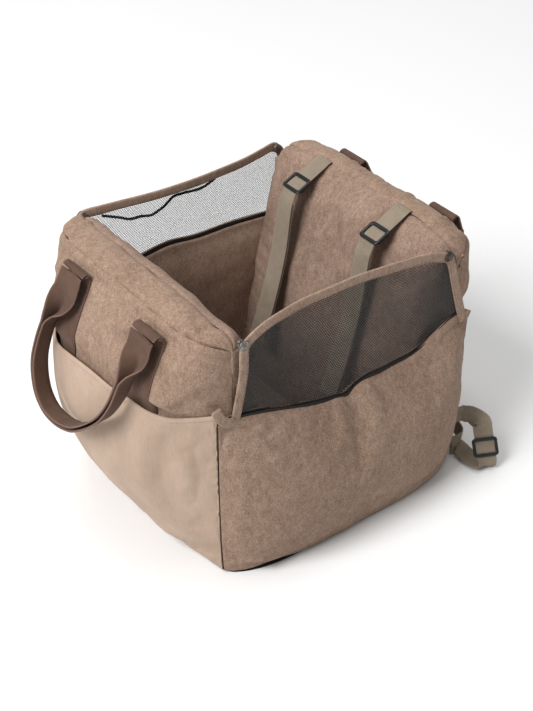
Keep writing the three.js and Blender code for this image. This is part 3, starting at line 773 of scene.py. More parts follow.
POCKET_FOLDS = {
    "front": [
        ([(-140, 232), (-122, 190), (-118, 130), (-126, 70)], 12, -3.2),
        ([(-100, 226), (-96, 170), (-88, 110)], 12, 1.8),
        ([(-70, 230), (-76, 160), (-66, 90)], 16, -1.8),
        ([(-10, 230), (0, 160), (-6, 70)], 20, 1.8),
        ([(60, 222), (66, 160), (56, 80)], 18, -2.0),
        ([(-152, 236), (-148, 160), (-152, 70)], 7, -2.0),
        ([(-140, 44), (-80, 30), (-20, 28)], 10, 2.2),
        ([(-150, 24), (-90, 60), (-40, 110)], 14, -2.2),
    ],
    "back": [
        ([(120, 196), (112, 150), (118, 90)], 14, -2.0),
        ([(40, 186), (46, 130), (36, 70)], 18, 2.0),
        ([(-60, 186), (-66, 130), (-56, 60)], 18, -1.8),
    ],
}


def hem_roll(name, edge, below, radius):
    """A folded hem: a flattened roll along an edge."""
    down = unit(below - edge)
    out = np.cross(unit(np.gradient(edge, axis=0)), down)
    ring = []
    for k in range(8):
        a = k * math.pi / 4
        ring.append(edge + down * (3.4 * math.cos(a) + 2.4) + out * (radius * math.sin(a)))
    return tube(name, np.stack(ring, axis=1))


def tube(name, rings, closed=False):
    """A closed tube through rings of points [ring, point, 3]."""
    count, n = rings.shape[:2]
    faces = []
    last = count if closed else count - 1
    for i in range(last):
        for k in range(n):
            a, b = i * n + k, i * n + (k + 1) % n
            c, d = ((i + 1) % count) * n + (k + 1) % n, ((i + 1) % count) * n + k
            faces.append((a, b, c, d))
    if not closed:
        faces.append(tuple(range(n))[::-1])
        faces.append(tuple((count - 1) * n + k for k in range(n)))
    around, along = length_along(rings[0]), length_along(rings[:, 0])
    uv = np.stack(np.meshgrid(around, along), axis=2).reshape(-1, 2)
    obj = mesh_object(name, rings.reshape(-1, 3), faces, uv)
    fix_winding(obj)
    return obj


def fix_winding(obj):
    """Turns a closed mesh's faces outwards."""
    if sum(p.center.dot(p.normal) * p.area for p in obj.data.polygons) < 0:
        obj.data.flip_normals()


for wall_name in WALLS:
    build_pocket(wall_name)


# ---- webbing and bindings -----------------------------------------------------------------
def smooth_path(stops, step=3.0):
    """A smooth line through the stops at even steps, and the share of the way for each point."""
    p = np.array(stops, float)
    grid = p[:, None, :].repeat(2, axis=1)
    fine = resample(grid, np.linspace(0, len(p) - 1, (len(p) - 1) * 12 + 1), np.array([0.0]))[:, 0]
    length = length_along(fine)
    count = max(2, int(round(length[-1] / step)))
    at = np.linspace(0, length[-1], count + 1)
    place = np.interp(at, length, np.linspace(0, len(p) - 1, len(fine)))
    return np.stack([np.interp(at, length, fine[:, k]) for k in range(3)], axis=1), place


def section(width, thickness, n=14, square=0.35):
    a = np.arange(n) * 2 * math.pi / n + math.pi / n
    c, s = np.cos(a), np.sin(a)
    return np.stack([
        width / 2 * np.sign(c) * np.abs(c) ** square,
        thickness / 2 * np.sign(s) * np.abs(s) ** square,
    ], axis=1)


def ribbon(name, stops, across, width, thickness, material, step=3.0, n=14, square=0.35, wobble=0.0,
           cup=0.0):
    """Flat webbing or binding along a smooth line. across is one vector, or one for each stop."""
    path, place = smooth_path(stops, step)
    across = np.array(across, float)
    if across.ndim == 1:
        across = across[None].repeat(len(stops), axis=0)
    side = np.stack([np.interp(place, np.arange(len(stops)), across[:, k]) for k in range(3)], axis=1)
    if wobble:
        path = path + waves(path, 21, 40)[:, None] * wobble
    tangent = unit(np.gradient(path, axis=0))
    normal = unit(np.cross(tangent, side))
    flat = unit(np.cross(normal, tangent))
    sec = section(width, thickness, n, square)
    lift = cup * (1 - (2 * sec[:, 0] / width) ** 2)
    rings = (path[:, None] + flat[:, None] * sec[None, :, :1]
             + normal[:, None] * (sec[:, 1] + lift)[None, :, None])
    obj = tube(name, rings)
    lateral = np.tile(sec[:, 0] + width / 2, len(path))
    along = np.repeat(length_along(path), len(sec))
    set_uv(obj, np.stack([lateral, along], axis=1))
    return dress(obj, material)


def join(name, objects):
    """Several closed meshes as one piece."""
    verts, faces, uvs = [], [], []
    for o in objects:
        first = len(verts)
        verts += [np.array(v.co) / MM for v in o.data.vertices]
        uv = [(0.0, 0.0)] * len(o.data.vertices)
        layer = o.data.uv_layers[0].data if o.data.uv_layers else None
        for p in o.data.polygons:
            faces.append(tuple(first + k for k in p.vertices))
            if layer:
                for loop, k in zip(p.loop_indices, p.vertices):
                    uv[k] = tuple(layer[loop].uv / MM)
        uvs += uv
        bpy.data.objects.remove(o)
    return mesh_object(name, verts, faces, uvs)


def stitches(name, path, normal, material, length=2.6, gap=1.5, radius=0.32, lift=0.25):
    """A row of thread stitches along a line of points, lying on a surface with that normal."""
    path = np.array(path, float)
    steps = length_along(path)
    normal = np.broadcast_to(np.array(normal, float), path.shape)

    def read(values, at):
        return np.array([np.interp(at, steps, values[:, k]) for k in range(3)])

    verts, faces = [], []
    at = gap
    while at + length < steps[-1]:
        a, b = read(path, at), read(path, at + length)
        n = unit(read(normal, at + length / 2))
        t = unit(b - a)
        s = np.cross(t, n)
        first = len(verts)
        for share, size, rise in ((0, 0.35, -0.3), (0.2, 1, 0.7), (0.8, 1, 0.7), (1, 0.35, -0.3)):
            centre = a + (b - a) * share + n * (lift * rise)
            for k in range(5):
                ang = k * 2 * math.pi / 5
                verts.append(centre + (n * math.sin(ang) + s * math.cos(ang)) * radius * size)
        for r in range(3):
            for k in range(5):
                faces.append((first + r * 5 + k, first + r * 5 + (k + 1) % 5,
                              first + (r + 1) * 5 + (k + 1) % 5, first + (r + 1) * 5 + k))
        faces.append(tuple(first + k for k in range(5))[::-1])
        faces.append(tuple(first + 15 + k for k in range(5)))
        at += length + gap
    obj = mesh_object(name, verts, faces, np.zeros((len(verts), 2)))
    fix_winding(obj)
    return dress(obj, material)


# ---- side panels, linings and windows -----------------------------------------------------
SIDES = {"left": -1, "right": 1}
TOP_SEAM = {
    "left": [(-186, 223), (-160, 225), (-130, 220), (-68, 202), (-20, 192), (-2, 190), (8, 196),
             (60, 200), (113, 204), (143, 218), (179, 228), (206, 224)],
    "right": [(-186, 222), (-140, 224), (-80, 226), (-20, 231), (20, 226), (80, 226), (130, 224),
              (206, 222)],
}


def seam_point(side_name, x):
    sy = SIDES[side_name]
    u = np.clip((x - 4) / 180, -1, 1)
    y = 162.6 + (7 if side_name == "left" else 11) * (1 - u**2)
    return sy * y, curve(TOP_SEAM[side_name], x)


def build_panel(name):
    sy = SIDES[name]
    rows, cols = 38, 62
    grid = np.zeros((rows, cols, 3))
    for i in range(rows):
        v = i / (rows - 1)
        for j in range(cols):
            t = 0.5 + 0.5 * math.sin((j / (cols - 1) - 0.5) * math.pi * 0.9) / math.sin(math.pi * 0.45)
            x_top = -178 + (200 + 178) * t
            y_top, z_top = seam_point(name, x_top)
            # the hem rides up near the front corner and shows the base
            hem = SHEET_T + 0.3 + 5 * math.exp(-(((x_top + 122) / 34) ** 2)) * (name == "left")
            z = hem + (z_top - hem) * v
            low = -outer_x(WALLS["front"], WALL_Y, z) - 0.6
            high = outer_x(WALLS["back"], WALL_Y, z) + 0.6
            x = low + (high - low) * t
            bow = 1 - abs(2 * t - 1) ** 5.4
            swell = 44 * bow * math.sin(math.pi * min((z + 43) / (z_top + 43), 1)) ** 0.64
            y = abs(y_top) * v**3 + 162.0 * (1 - v**3) + swell
            grid[i, j] = x, sy * y, z
    if sy < 0:
        grid = grid[:, ::-1]
    weights = np.zeros((rows, cols))
    weights[[0, 1, -1]] = 1
    weights[-2] = 0.8
    weights[:, [0, 1, -1, -2]] = 1
    grid = simulate(grid, weights, pressure=3.0, cap=7.0, spare=0.012)
    grid[..., 2] = np.maximum(grid[..., 2], 1.6)
    fine = resample(grid, dense_ends(0, rows - 1, 0.5), dense_ends(0, cols - 1, 0.5))
    z, x = fine[..., 2], fine[..., 0]
    free = ease(z / 30) * ease((228 - z) / 25) * ease((x + 178) / 20) * ease((204 - x) / 24)
    slack = waves(fine, 61 + sy, 70, 14) * 1.3 + waves(fine, 17, 26, 14) * 0.45
    slack = slack + waves(fine, 3, 11) * 0.12
    fine = fine + normals_of(fine) * (slack * free)[..., None]
    fine = creases(fine, PANEL_FOLDS[name], axes=(0, 2))
    obj = dress(slab(f"{name}_panel_cloth", fine, 1.8, 0.6), SUEDE)
    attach(obj, "carrier")
    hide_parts(f"{name}_side_panel")


PANEL_FOLDS = {
    "left": [
        ([(2, 200), (-2, 182), (8, 160), (2, 140)], 7, -3.6),
        ([(-14, 198), (-24, 170), (-22, 140)], 10, 2.2),
        ([(20, 202), (28, 176), (24, 150)], 9, 1.8),
        ([(-164, 190), (-158, 130), (-164, 70), (-158, 24)], 7, 1.8),
        ([(-176, 60), (-150, 28), (-110, 12)], 8, 2.2),
        ([(-166, 16), (-120, 8), (-60, 10)], 6, -1.8),
        ([(186, 190), (178, 140), (186, 80)], 9, -2.2),
        ([(168, 210), (150, 180), (146, 140)], 9, 1.8),
        ([(60, 30), (110, 20), (160, 34)], 9, -2.2),
        ([(-60, 60), (0, 44), (60, 56)], 16, -2.0),
        ([(120, 204), (112, 176), (118, 150)], 8, -1.6),
    ],
    "right": [
        ([(0, 214), (-4, 180), (6, 150)], 9, -2.4),
        ([(-164, 190), (-158, 120), (-164, 60)], 7, 1.6),
        ([(186, 190), (178, 140), (186, 80)], 9, -2.0),
        ([(60, 30), (110, 20), (160, 34)], 9, -2.0),
        ([(-60, 60), (0, 44), (60, 56)], 16, -2.0),
    ],
}
for side_name in SIDES:
    build_panel(side_name)


def build_lining(name):
    sy = SIDES[name]
    rows, cols = 44, 60
    grid = np.zeros((rows, cols, 3))
    for i in range(rows):
        for j in range(cols):
            x = -150 + 306 * j / (cols - 1)
            top_y, top_z = seam_point(name, x)
            z = 19 + (top_z - 1.5 - 19) * i / (rows - 1)
            out = max(abs(top_y) - 163.6, 0) * float(ease((z - top_z + 60) / 60))
            grid[i, j] = x, sy * (159.2 + out), z
    soft = waves(grid, 71 + sy, 60, 12) * 1.5 + waves(grid, 9, 24) * 0.5
    u = ease((grid[..., 0] + 150) / 30) * ease((156 - grid[..., 0]) / 30)
    v = ease((PANEL_TOP - grid[..., 2]) / 20)
    grid[..., 1] -= sy * np.clip(2.2 + soft, 0, 6) * u * v
    if sy > 0:
        grid = grid[:, ::-1]
    # painted light: the lining takes the lighter suede copy in place of fill light inside
    obj = dress(slab(f"{name}_lining_cloth", grid, 1.2, 0.5), LINING_PAINTED_FILL_LIGHT)
    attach(obj, "carrier")
    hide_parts(f"{name}_inner_lining")


for side_name in SIDES:
    build_lining(side_name)


# the window's outer edge: the leg from the front foot up, the top, and the back leg down
EDGE = {
    "left": (
        [(-163, 227), (-157.5, 252), (-152, 282), (-151, 308), (-149.5, 320)],
        [(-149, 324), (-131, 334), (-85, 344.5), (-16, 347), (70, 341.5), (132, 330), (150, 322)],
        [(153, 319), (158.5, 306), (165, 284), (174, 254), (183, 226)],
    ),
    "right": (
        [(-169, 226), (-165.4, 255), (-161, 285), (-157.5, 310), (-153.5, 322)],
        [(-155, 327), (-110, 336), (-50, 343), (0, 345), (50, 343), (110, 336), (155, 327)],
        [(153.5, 322), (160, 310), (166.5, 285), (172.5, 255), (178, 226)],
    ),
}


def outline(side_name, inset):
    """The window's edge, moved inwards, in X and Z."""
    front, top, back = EDGE[side_name]
    corner = 140
    xs = np.linspace(-corner, corner, 19)
    arch = list(zip(xs * (1 - inset * 0.004), curve(top, xs) - inset))
    front = [(x + inset, z - (inset * 0.6 if k == 4 else 0)) for k, (x, z) in enumerate(front)]
    back = [(x - inset, z - (inset * 0.6 if k == 0 else 0)) for k, (x, z) in enumerate(back)]
    return np.array(front + arch + back)


def lean_in(obj, name):
    """The far window sags and leans into the cabin between its snaps."""
    if name == "left":
        return
    for v in obj.data.vertices:
        x, z = v.co.x / MM, v.co.z / MM
        share = max(0.0, 1 - (x / 144) ** 2) * float(ease((z - 228) / 108)) ** 0.8
        v.co.y -= 23 * share * MM
        v.co.z -= 13 * share * MM


def build_window(name):
    sy = SIDES[name]
    body = f"{name}_window"
    foot_y = sy * WINDOW_Y
    edge = outline(name, 6.0)
    stops = [(x, foot_y + sy * 0.4, z) for x, z in edge]
    if sy < 0:
        start = [(-182, sy * 163.4, 246), (-178.5, sy * 165, 236), (-170, sy * 166.6, 226.5),
                 (-160, sy * 166.6, 224)]
    else:
        start = [(-186, sy * 163.2, 226), (-181, sy * 165, 221.5), (-172, sy * 166, 220)]
    end = [(178, sy * 166, 219), (186, sy * 165, 221), (190, sy * 163.5, 226)]
    pts = np.array(start + stops + end)
    tangent = unit(np.gradient(pts, axis=0))
    across = unit(np.cross(tangent, np.array([0, 1.0, 0])))
    binding = ribbon(f"{name}_binding_cloth", pts, across, 12, 3.4, PIPING, 3.0, 16, 0.55, 0.25)
    line = [(x, foot_y + sy * 2.15, z) for x, z in smooth_2d(outline(name, 10.4)) if z > 236]
    row = stitches(f"{name}_binding_stitch", line, (0, sy, 0), THREAD)
    lean_in(binding, name)
    lean_in(row, name)
    bend_with(binding)
    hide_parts(f"{name}_window_binding")
    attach(row, body)
    build_net(name)
    if sy > 0:
        build_elastic(name)


# the loose elastic edge that hangs in waves inside the far window, in X and Z
ELASTIC = [(-119, 315), (-95, 306), (-79, 299), (-63, 298), (-48, 295), (-37, 298), (-29, 301),
           (-20, 307), (-12, 311), (5, 310), (28, 308), (49, 314)]


def build_elastic(name):
    sy = SIDES[name]
    stops = []
    for x, z in ELASTIC:
        inward = 16 * max(0.0, 1 - (x / 144) ** 2) + 2
        stops.append((x - 0.75 * inward, sy * (163 - inward), z + 0.26 * inward))
    band = ribbon(f"{name}_window_elastic", stops, (0, 0.3, 1), 3.4, 1.1, TAPE, 2.0, 10, 0.5)
    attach(band, f"{name}_window")


def smooth_2d(points):
    path, _ = smooth_path([(x, 0, z) for x, z in points], 2.0)
    return path[:, [0, 2]]


def bend_with(obj):
    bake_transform(obj)


def read_line(line, t):
    at = np.linspace(0, 1, len(line))
    return np.stack([np.interp(t, at, line[:, k]) for k in range(2)], axis=-1)


def build_net(name):
    sy = SIDES[name]
    rows, cols = 46, 96
    inner = outline(name, 9.0)
    top = smooth_2d(inner[4:-4])
    left = smooth_2d(inner[:5])
    right = smooth_2d(inner[-5:][::-1])
    u, v = np.linspace(0, 1, cols), np.linspace(0, 1, rows)
    grid = np.zeros((rows, cols, 3))
    bottom_x = -167 + (176 + 167) * u
    by, bz = seam_point(name, bottom_x)
    bottom = np.stack([bottom_x, bz], axis=1)
    upper, lhs, rhs = read_line(top, u), read_line(left, v), read_line(right, v)
    for i in range(rows):
        for j in range(cols):
            a, b = u[j], v[i]
            flat = ((1 - b) * bottom[j] + b * upper[j] + (1 - a) * lhs[i] + a * rhs[i]
                    - ((1 - a) * (1 - b) * bottom[0] + a * (1 - b) * bottom[-1]
                       + (1 - a) * b * upper[0] + a * b * upper[-1]))
            free = math.sin(math.pi * b) * math.sin(math.pi * a) ** 0.5
            y = by[j] * (1 - ease(b * 2.2)) + sy * WINDOW_Y * ease(b * 2.2)
            grid[i, j] = flat[0], y + sy * 2.5 * free, flat[1]
    slack = waves(grid, 81 + sy, 70, 12) * 1.6 + waves(grid, 19, 30) * 0.7
    free = (np.sin(math.pi * v)[:, None] * np.sin(math.pi * u)[None]) ** 0.5
    grid[..., 1] += sy * slack * free
    if sy < 0:
        grid = grid[:, ::-1]
    obj = dress(slab(f"{name}_net", grid, 0.5, 0.5), NET[name])
    lean_in(obj, name)
    bend_with(obj)
    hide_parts(f"{name}_mesh_window")
    tape_at = np.arange(-166, 178, 4.0)
    ty, tz = seam_point(name, tape_at)
    tape_out = ribbon(f"{name}_tape_outside", np.stack([tape_at, ty + sy * 0.9, tz + 1.0], axis=1),
                      (0, 0, 1), 4.5, 1.2, TAPE, 4.0, 10, 0.4)
    tape_in = ribbon(f"{name}_tape_inside", np.stack([tape_at, ty - sy * 2.4, tz + 1.0], axis=1),
                     (0, 0, 1), 4.8, 1.2, TAPE, 4.0, 10, 0.4, 0.3)
    allowance = ribbon(f"{name}_seam_allowance",
                       np.stack([tape_at, ty - sy * 2.0, tz + 4.2], axis=1),
                       (0, 0, 1), 1.8, 1.0, PIPING, 4.0, 8, 0.5, 0.3)
    for piece, slot_name in ((tape_out, "black_tape"), (tape_in, "black_tape"), (allowance, "suede")):
        bend_with(piece)
    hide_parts(f"{name}_seam_tape")


for side_name in SIDES:
    build_window(side_name)


# ---- snap fasteners -----------------------------------------------------------------------
def lathe(name, profile, centre, sy, material, count=40):
    """A turned piece round an axis along Y. profile is [(radius, distance outwards)]."""
    rings = []
    for r, d in profile:
        a = np.arange(count) * 2 * math.pi / count
        rings.append(np.stack([centre[0] + r * np.cos(a), np.full(count, sy * d),
                               centre[1] + r * np.sin(a)], axis=1))
    return dress(tube(name, np.stack(rings)), material)


def build_snap(side_name, end_name):
    sy = SIDES[side_name]
    sx = -1 if end_name == "front" else 1
    centre = (sx * 146.0, 319.5)
    base = f"{side_name}_{end_name}_snap"
    # painted light and shade: the front caps take the lighter metal, the back caps the darker copy as
    # painted shade
    shine = METAL if sx < 0 else METAL_PAINTED_SHADE
    stud = lathe(f"{base}_stud_metal", [(0.4, 160.6), (5.4, 160.6), (5.6, 160.9), (5.2, 161.3),
                 (3.0, 161.5), (2.0, 162.0), (1.9, 163.4), (2.2, 164.4), (2.0, 165.1), (1.2, 165.5),
                 (0.3, 165.6)], centre, sy, METAL)
    socket = lathe(f"{base}_socket_metal", [(2.5, 161.8), (3.2, 161.5), (4.8, 161.6), (5.5, 162.0),
                   (5.6, 163.1), (2.5, 163.1)], centre, sy, METAL)
    low = 166.5
    cap = lathe(f"{base}_cap_metal", [(0.5, low), (6.0, low), (6.5, low + 0.35), (6.5, low + 0.9),
                (6.0, low + 1.5), (5.2, low + 1.75), (4.5, low + 1.45), (4.1, low + 1.5),
                (3.2, low + 2.1), (1.6, low + 2.35), (0.3, low + 2.4)], centre, sy, shine)
    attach(stud, "carrier")
    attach(socket, f"{side_name}_window")
    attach(cap, f"{side_name}_window")
    for piece, node in ((stud, "stud"), (socket, "socket"), (cap, "cap")):
        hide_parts(f"{base}_{node}")


for side_name in SIDES:
    for end_name in ("front", "back"):
        build_snap(side_name, end_name)


# ---- handles ------------------------------------------------------------------------------
# centre line of each loop of webbing: out, across, up, and how far it is folded in half
HANDLE_STOPS = {
    "front": [
        (206.5, -84, 316, 0), (208.5, -84, 320.5, 0), (213, -84, 322.5, 0), (218.5, -84, 320, 0),
        (223, -84, 312, 0), (227, -84.5, 300, 0.05), (231, -84, 289, 0.3), (237, -83, 277, 0.72),
        (245, -82, 263, 1), (255, -79, 241, 1), (262, -66, 217, 1), (266, -44, 194, 1),
        (267, -12, 168, 1), (267, 12, 155, 1), (267, 36, 148, 1), (267, 59, 149, 1),
        (266, 76, 161, 1), (264, 84, 182, 1), (260, 87, 206, 1), (253, 85, 232, 1),
        (246, 81, 254, 1), (240, 77, 268, 0.8), (234, 72, 280, 0.42), (228, 68, 293, 0.1),
        (223, 66, 309, 0), (218.5, 66, 318.5, 0), (213, 66, 322.5, 0), (208.5, 66, 320.5, 0),
        (206.5, 66, 316, 0),
    ],
    "back": [
        (206.5, -86, 317, 0), (208.5, -86, 320, 0), (213, -86, 321, 0), (217.5, -86, 318.5, 0),
        (221, -86, 311, 0), (224.5, -85.5, 300, 0.08), (228, -84.5, 288, 0.42),
        (232, -83, 274, 0.85), (235.5, -81.5, 260, 1), (241, -80, 210, 1), (245, -76, 180, 1),
        (250, -62, 160, 1), (252, -32, 146, 1), (253, 0, 144, 1), (252, 32, 146, 1),
        (250, 62, 160, 1), (245, 76, 180, 1), (241, 80, 210, 1), (235.5, 81.5, 260, 1),
        (232, 83, 274, 0.85), (228, 84.5, 288, 0.42), (224.5, 85.5, 300, 0.08),
        (221, 86, 311, 0), (217.5, 86, 318.5, 0), (213, 86, 321, 0), (208.5, 86, 320, 0),
        (206.5, 86, 317, 0),
    ],
}


def folded_webbing(name, stops, side, width=42.0, thickness=1.9):
    """Webbing that folds in half lengthwise, its open edges outwards, where fold is 1."""
    pts = np.array(stops)
    path, place = smooth_path(pts[:, :3], 2.5)
    fold = np.interp(place, np.arange(len(pts)), pts[:, 3])
    tangent = unit(np.gradient(path, axis=0))
    outward = np.array([side, 0, 0.0])
    # the webbing's outer face turns over with the path near its sewn ends
    flat = unit(np.cross(tangent, outward))
    first = np.array([0, 1.0, 0])
    tight = np.abs(tangent[:, 0]) > 0.6
    flat[tight] = first * np.sign((flat[~tight][0] @ first) or 1)
    order = np.arange(len(path)) > len(path) / 2
    flat[tight & order] = flat[np.nonzero(~tight & order)[0][-1]]
    flat[tight & ~order] = flat[np.nonzero(~tight & ~order)[0][0]]
    up = unit(np.cross(flat, tangent))
    up = up * np.sign((up @ outward).sum() or 1)
    w = np.linspace(-1, 1, 15) * width / 2
    angle = fold[:, None] * math.radians(86)
    half = np.abs(w)[None]
    apart = 1.15 * np.sin(angle) * np.minimum(half / 2.2, 1)
    over = np.sign(w)[None] * (half * np.cos(angle) + apart)
    rise = half * np.sin(angle) - width / 4 * np.sin(angle)
    grid = path[:, None] + flat[:, None] * over[..., None] + up[:, None] * rise[..., None]
    obj = slab(name, grid, thickness, 0.5)
    uv = np.stack(np.meshgrid(w + width / 2, length_along(path)), axis=2).reshape(-1, 2)
    set_uv(obj, np.concatenate([uv, uv]))
    return dress(obj, DARK_WEB)


def build_handle(name):
    w = WALLS[name]
    side = w["side"]
    stops = [(side * x, y, z, fold) for x, y, z, fold in HANDLE_STOPS[name]]
    loop = folded_webbing(f"{name}_handle_loop", stops, side)
    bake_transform(loop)
    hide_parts(f"{name}_handle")
    for label, y in zip(("left", "right"), w["sewn"]):
        heights = np.linspace(185, 310, 22)
        rows = []
        for z in heights:
            row = []
            for dy in np.linspace(-21, 21, 9):
                x = surface_x(OUTSIDE[name], side, y + dy, z, FOOT + 40)
                row.append((side * (x + 1.3), y + dy, z))
            rows.append(row)
        for x, z in ((206.8, 315.0), (209.0, 318.6), (212.6, 319.3)):
            rows.append([(side * x, y + dy, z) for dy in np.linspace(-21, 21, 9)])
        g = np.array(rows)
        g[:-3, :, 0] = np.array([np.convolve(np.pad(c, 1, "edge"), [0.25, 0.5, 0.25], "valid")
                                 for c in g[:-3, :, 0].T]).T
        if side > 0:
            g = g[:, ::-1]
        strip = dress(slab(f"{name}_{label}_strip", g, 1.7, 0.5), DARK_WEB)
        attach(strip, "carrier")
        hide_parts(f"{name}_{label}_handle_strip")
        for k, dy in enumerate((-19.3, 19.3)):
            column = 0 if (dy < 0) == (side < 0) else -1
            inner = 1 if column == 0 else -2
            line = g[2:-3, column] * 0.72 + g[2:-3, inner] * 0.28
            row = stitches(f"{name}_{label}_strip_stitch_{k}", line, (side, 0, 0), DARK_THREAD, lift=1.1)
            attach(row, "carrier")


for wall_name in WALLS:
    build_handle(wall_name)


# ---- straps and sliders -------------------------------------------------------------------
def slider_frame(name, at, along, up, length=24.0, width=31.0):
    """A moulded slider: a rounded frame with a middle bar under the webbing."""
    x = unit(np.array(along, float))
    z = np.array(up, float)
    z = unit(z - x * (x @ z))
    y = np.cross(z, x)

    def world(p):
        p = np.asarray(p, float)
        return np.array(at) + p[..., :1] * x + p[..., 1:2] * y + p[..., 2:3] * z

    hx, hy, r = length / 2 - 1.6, width / 2 - 1.2, 3.6
    centre = []
    for sx, sy, quarter in ((1, 1, 0), (-1, 1, 1), (-1, -1, 2), (1, -1, 3)):
        for k in range(6):
            a = (quarter + k / 5) * math.pi / 2
            centre.append((sx * (hx - r) + r * math.cos(a), sy * (hy - r) + r * math.sin(a)))
    centre = np.array(centre)
    out = unit(np.roll(centre, -1, 0) - np.roll(centre, 1, 0))
    out = np.stack([out[:, 1], -out[:, 0]], axis=1)
    sec = section(1, 1, 14, 0.6)
    # end bars are wider than the side rails, and sit over the webbing
    end = ease((np.abs(centre[:, 0]) - (hx - r - 1)) / 3.0)
    half_w = 1.7 + 0.75 * end
    low = np.where(end > 0.5, 1.0, -2.6) * end - 2.6 * (1 - end)
    high = 3.4
    rings = []
    for i in range(len(centre)):
        offset = sec[:, 0] * 2 * half_w[i]
        height = (high + low[i]) / 2 + sec[:, 1] * (high - low[i])
        rings.append(np.stack([centre[i, 0] + out[i, 0] * offset,
                               centre[i, 1] + out[i, 1] * offset, height], axis=1))
    ring = tube("ring", world(np.array(rings)), closed=True)
    bar_sec = section(4.6, 2.2, 14, 0.6)
    ys = np.array([-hy, -hy + 1.5, -hy * 0.5, 0, hy * 0.5, hy - 1.5, hy])
    bar = np.stack([np.stack([bar_sec[:, 0], np.full(14, at_y), bar_sec[:, 1] - 2.4], axis=1)
                    for at_y in ys])
    obj = join(name, [ring, tube("bar", world(bar))])
    return dress(obj, PLASTIC)


ROOT, BEND = np.array([155.4, 338.2]), np.array([100.5, 311.6])


def build_strap(name):
    y = 75.0 * SIDES[name]
    body = f"{name}_strap"
    reach = np.linalg.norm(BEND - ROOT)
    slope = (BEND - ROOT) / reach
    up = np.array([-slope[1], 0, slope[0]])
    up = up * np.sign(up[2])

    def on(t, lift=0.0):
        p = ROOT + slope * reach * t
        return p[0] + up[0] * lift, y, p[1] + up[2] * lift

    share = (reach - 13) / reach
    # the root is tucked into the band seam; the webbing rises over the slider's middle bar
    top_stops = [(159.5, y, 335.6), (157.5, y, 338.4), on(0.02, 0.3), on(0.15), on(0.35), on(0.55),
                 on(share - 0.16, -0.2), on(share, 0.5), on(share + 0.14, 0.1), on(1.0)]
    top = ribbon(f"{name}_strap_upper", top_stops, (0, 1, 0), 25, 1.5, KHAKI_WEB, 2.5)
    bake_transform(top)
    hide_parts(f"{name}_strap_top")
    hanging = np.array([(98.5, 306.5), (95.6, 298), (92.5, 280), (86, 235), (74, 185), (60.5, 140),
                        (49, 108)])
    twist = np.array([0, 0.02, 0.06, 0.14, 0.2, 0.22, 0.22])
    direction = unit(np.gradient(hanging, axis=0))
    side_n = np.stack([-direction[:, 1], direction[:, 0]], axis=1)
    gap = np.array([0.0, 0.9, 1.2, 1.3, 1.3, 1.3, 1.4])
    front = hanging + side_n * -gap[:, None]
    rear = hanging + side_n * gap[:, None]
    tip = hanging[-1] + direction[-1] * 4.5
    down = [(x, y, z) for x, z in (*front, tip, *rear[::-1][:-1])]
    start = [on(1.0), on(1.03, -1.2)]
    across = [(0, 1, 0), (0, 1, 0)] + [(-t, 1, 0) for t in twist] + [(-0.22, 1, 0)]
    across += [(-t, 1, 0) for t in twist[::-1][:-1]]
    loop = ribbon(f"{name}_strap_lower", start + down, across, 25, 1.5, KHAKI_WEB, 2.5)
    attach(loop, body)
    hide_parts(f"{name}_strap_loop")
    at = on(share, 0.0)
    slider = slider_frame(f"{name}_slider_frame", at, (slope[0], 0, slope[1]), up)
    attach(slider, f"{name}_slider")
    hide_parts(f"{name}_strap_slider")
    row = stitches(f"{name}_strap_stitch", [(153.0, y - 11, 337.6), (153.0, y + 11, 337.6)],
                   (up[0], 0, up[2]), THREAD, lift=0.9)
    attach(row, body)


for side_name in SIDES:
    build_strap(side_name)


# ---- seat-belt loop -----------------------------------------------------------------------
def belt(name, stops, step):
    """Webbing through [(place, direction across it), ...]."""
    places, across = zip(*stops)
    piece = ribbon(name, places, across, 25, 1.5, KHAKI_WEB, step)
    return piece


def build_belt():
    top, low = np.array([209, -190, 58.0]), np.array([201.5, -213, 14.0])
    slant = (0.8, -0.6, 0.15)
    stops = [((186.0, -163.2, 62.6), (0.1, 0, 1)), ((196.5, -165.4, 63), (0.15, -0.1, 1)),
             ((199.0, -169.0, 63.2), (0.15, -0.1, 1)),
             ((204, -176, 63.5), (0.3, -0.2, 0.9))]
    for t in (0, 0.08, 0.36, 0.64, 0.92, 1):
        stops.append((tuple(top + (low - top) * t), slant))
    stops += [((198.8, -213.5, 7.5), (0.9, -0.4, 0)), ((196.5, -203, 4.6), (1, -0.1, 0)),
              ((195.5, -188, 4.6), (1, 0, 0)), ((196.5, -174, 7), (1, 0.1, 0)),
              ((193, -164, 11), (1, 0.1, 0)), ((184, -162.5, 12), (0.7, 0.1, 0.7))]
    loop = belt("belt_loop_ribbon", stops, 2.5)
    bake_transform(loop)
    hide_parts("belt_loop_webbing")
    along = low - top
    up = np.cross(along, np.array(slant))
    slider = slider_frame("belt_slider_frame", low + (top - low) * 0.36, along, up)
    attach(slider, "belt_loop_slider")
    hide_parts("belt_slider")
    across = [((184, -163.5, 15), (0.4, 0, 1)), ((196, -164.5, 17), (0.3, 0, 1)),
              ((206, -158, 20), (0.1, 0, 1)),
              ((213, -120, 26), (0, 0, 1)), ((216, -60, 33), (0, 0, 1)), ((217, 0, 40), (0, 0, 1)),
              ((216, 60, 47), (0, 0, 1)), ((213, 120, 55), (0, 0, 1)), ((207, 150, 60), (0, 0, 1)),
              ((199, 163.5, 63), (0, 0, 1)), ((188, 163.2, 64), (0, 0, 1))]
    strap = belt("belt_across_back", across, 4.0)
    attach(strap, "carrier")
    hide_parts("seat_belt_webbing")


build_belt()


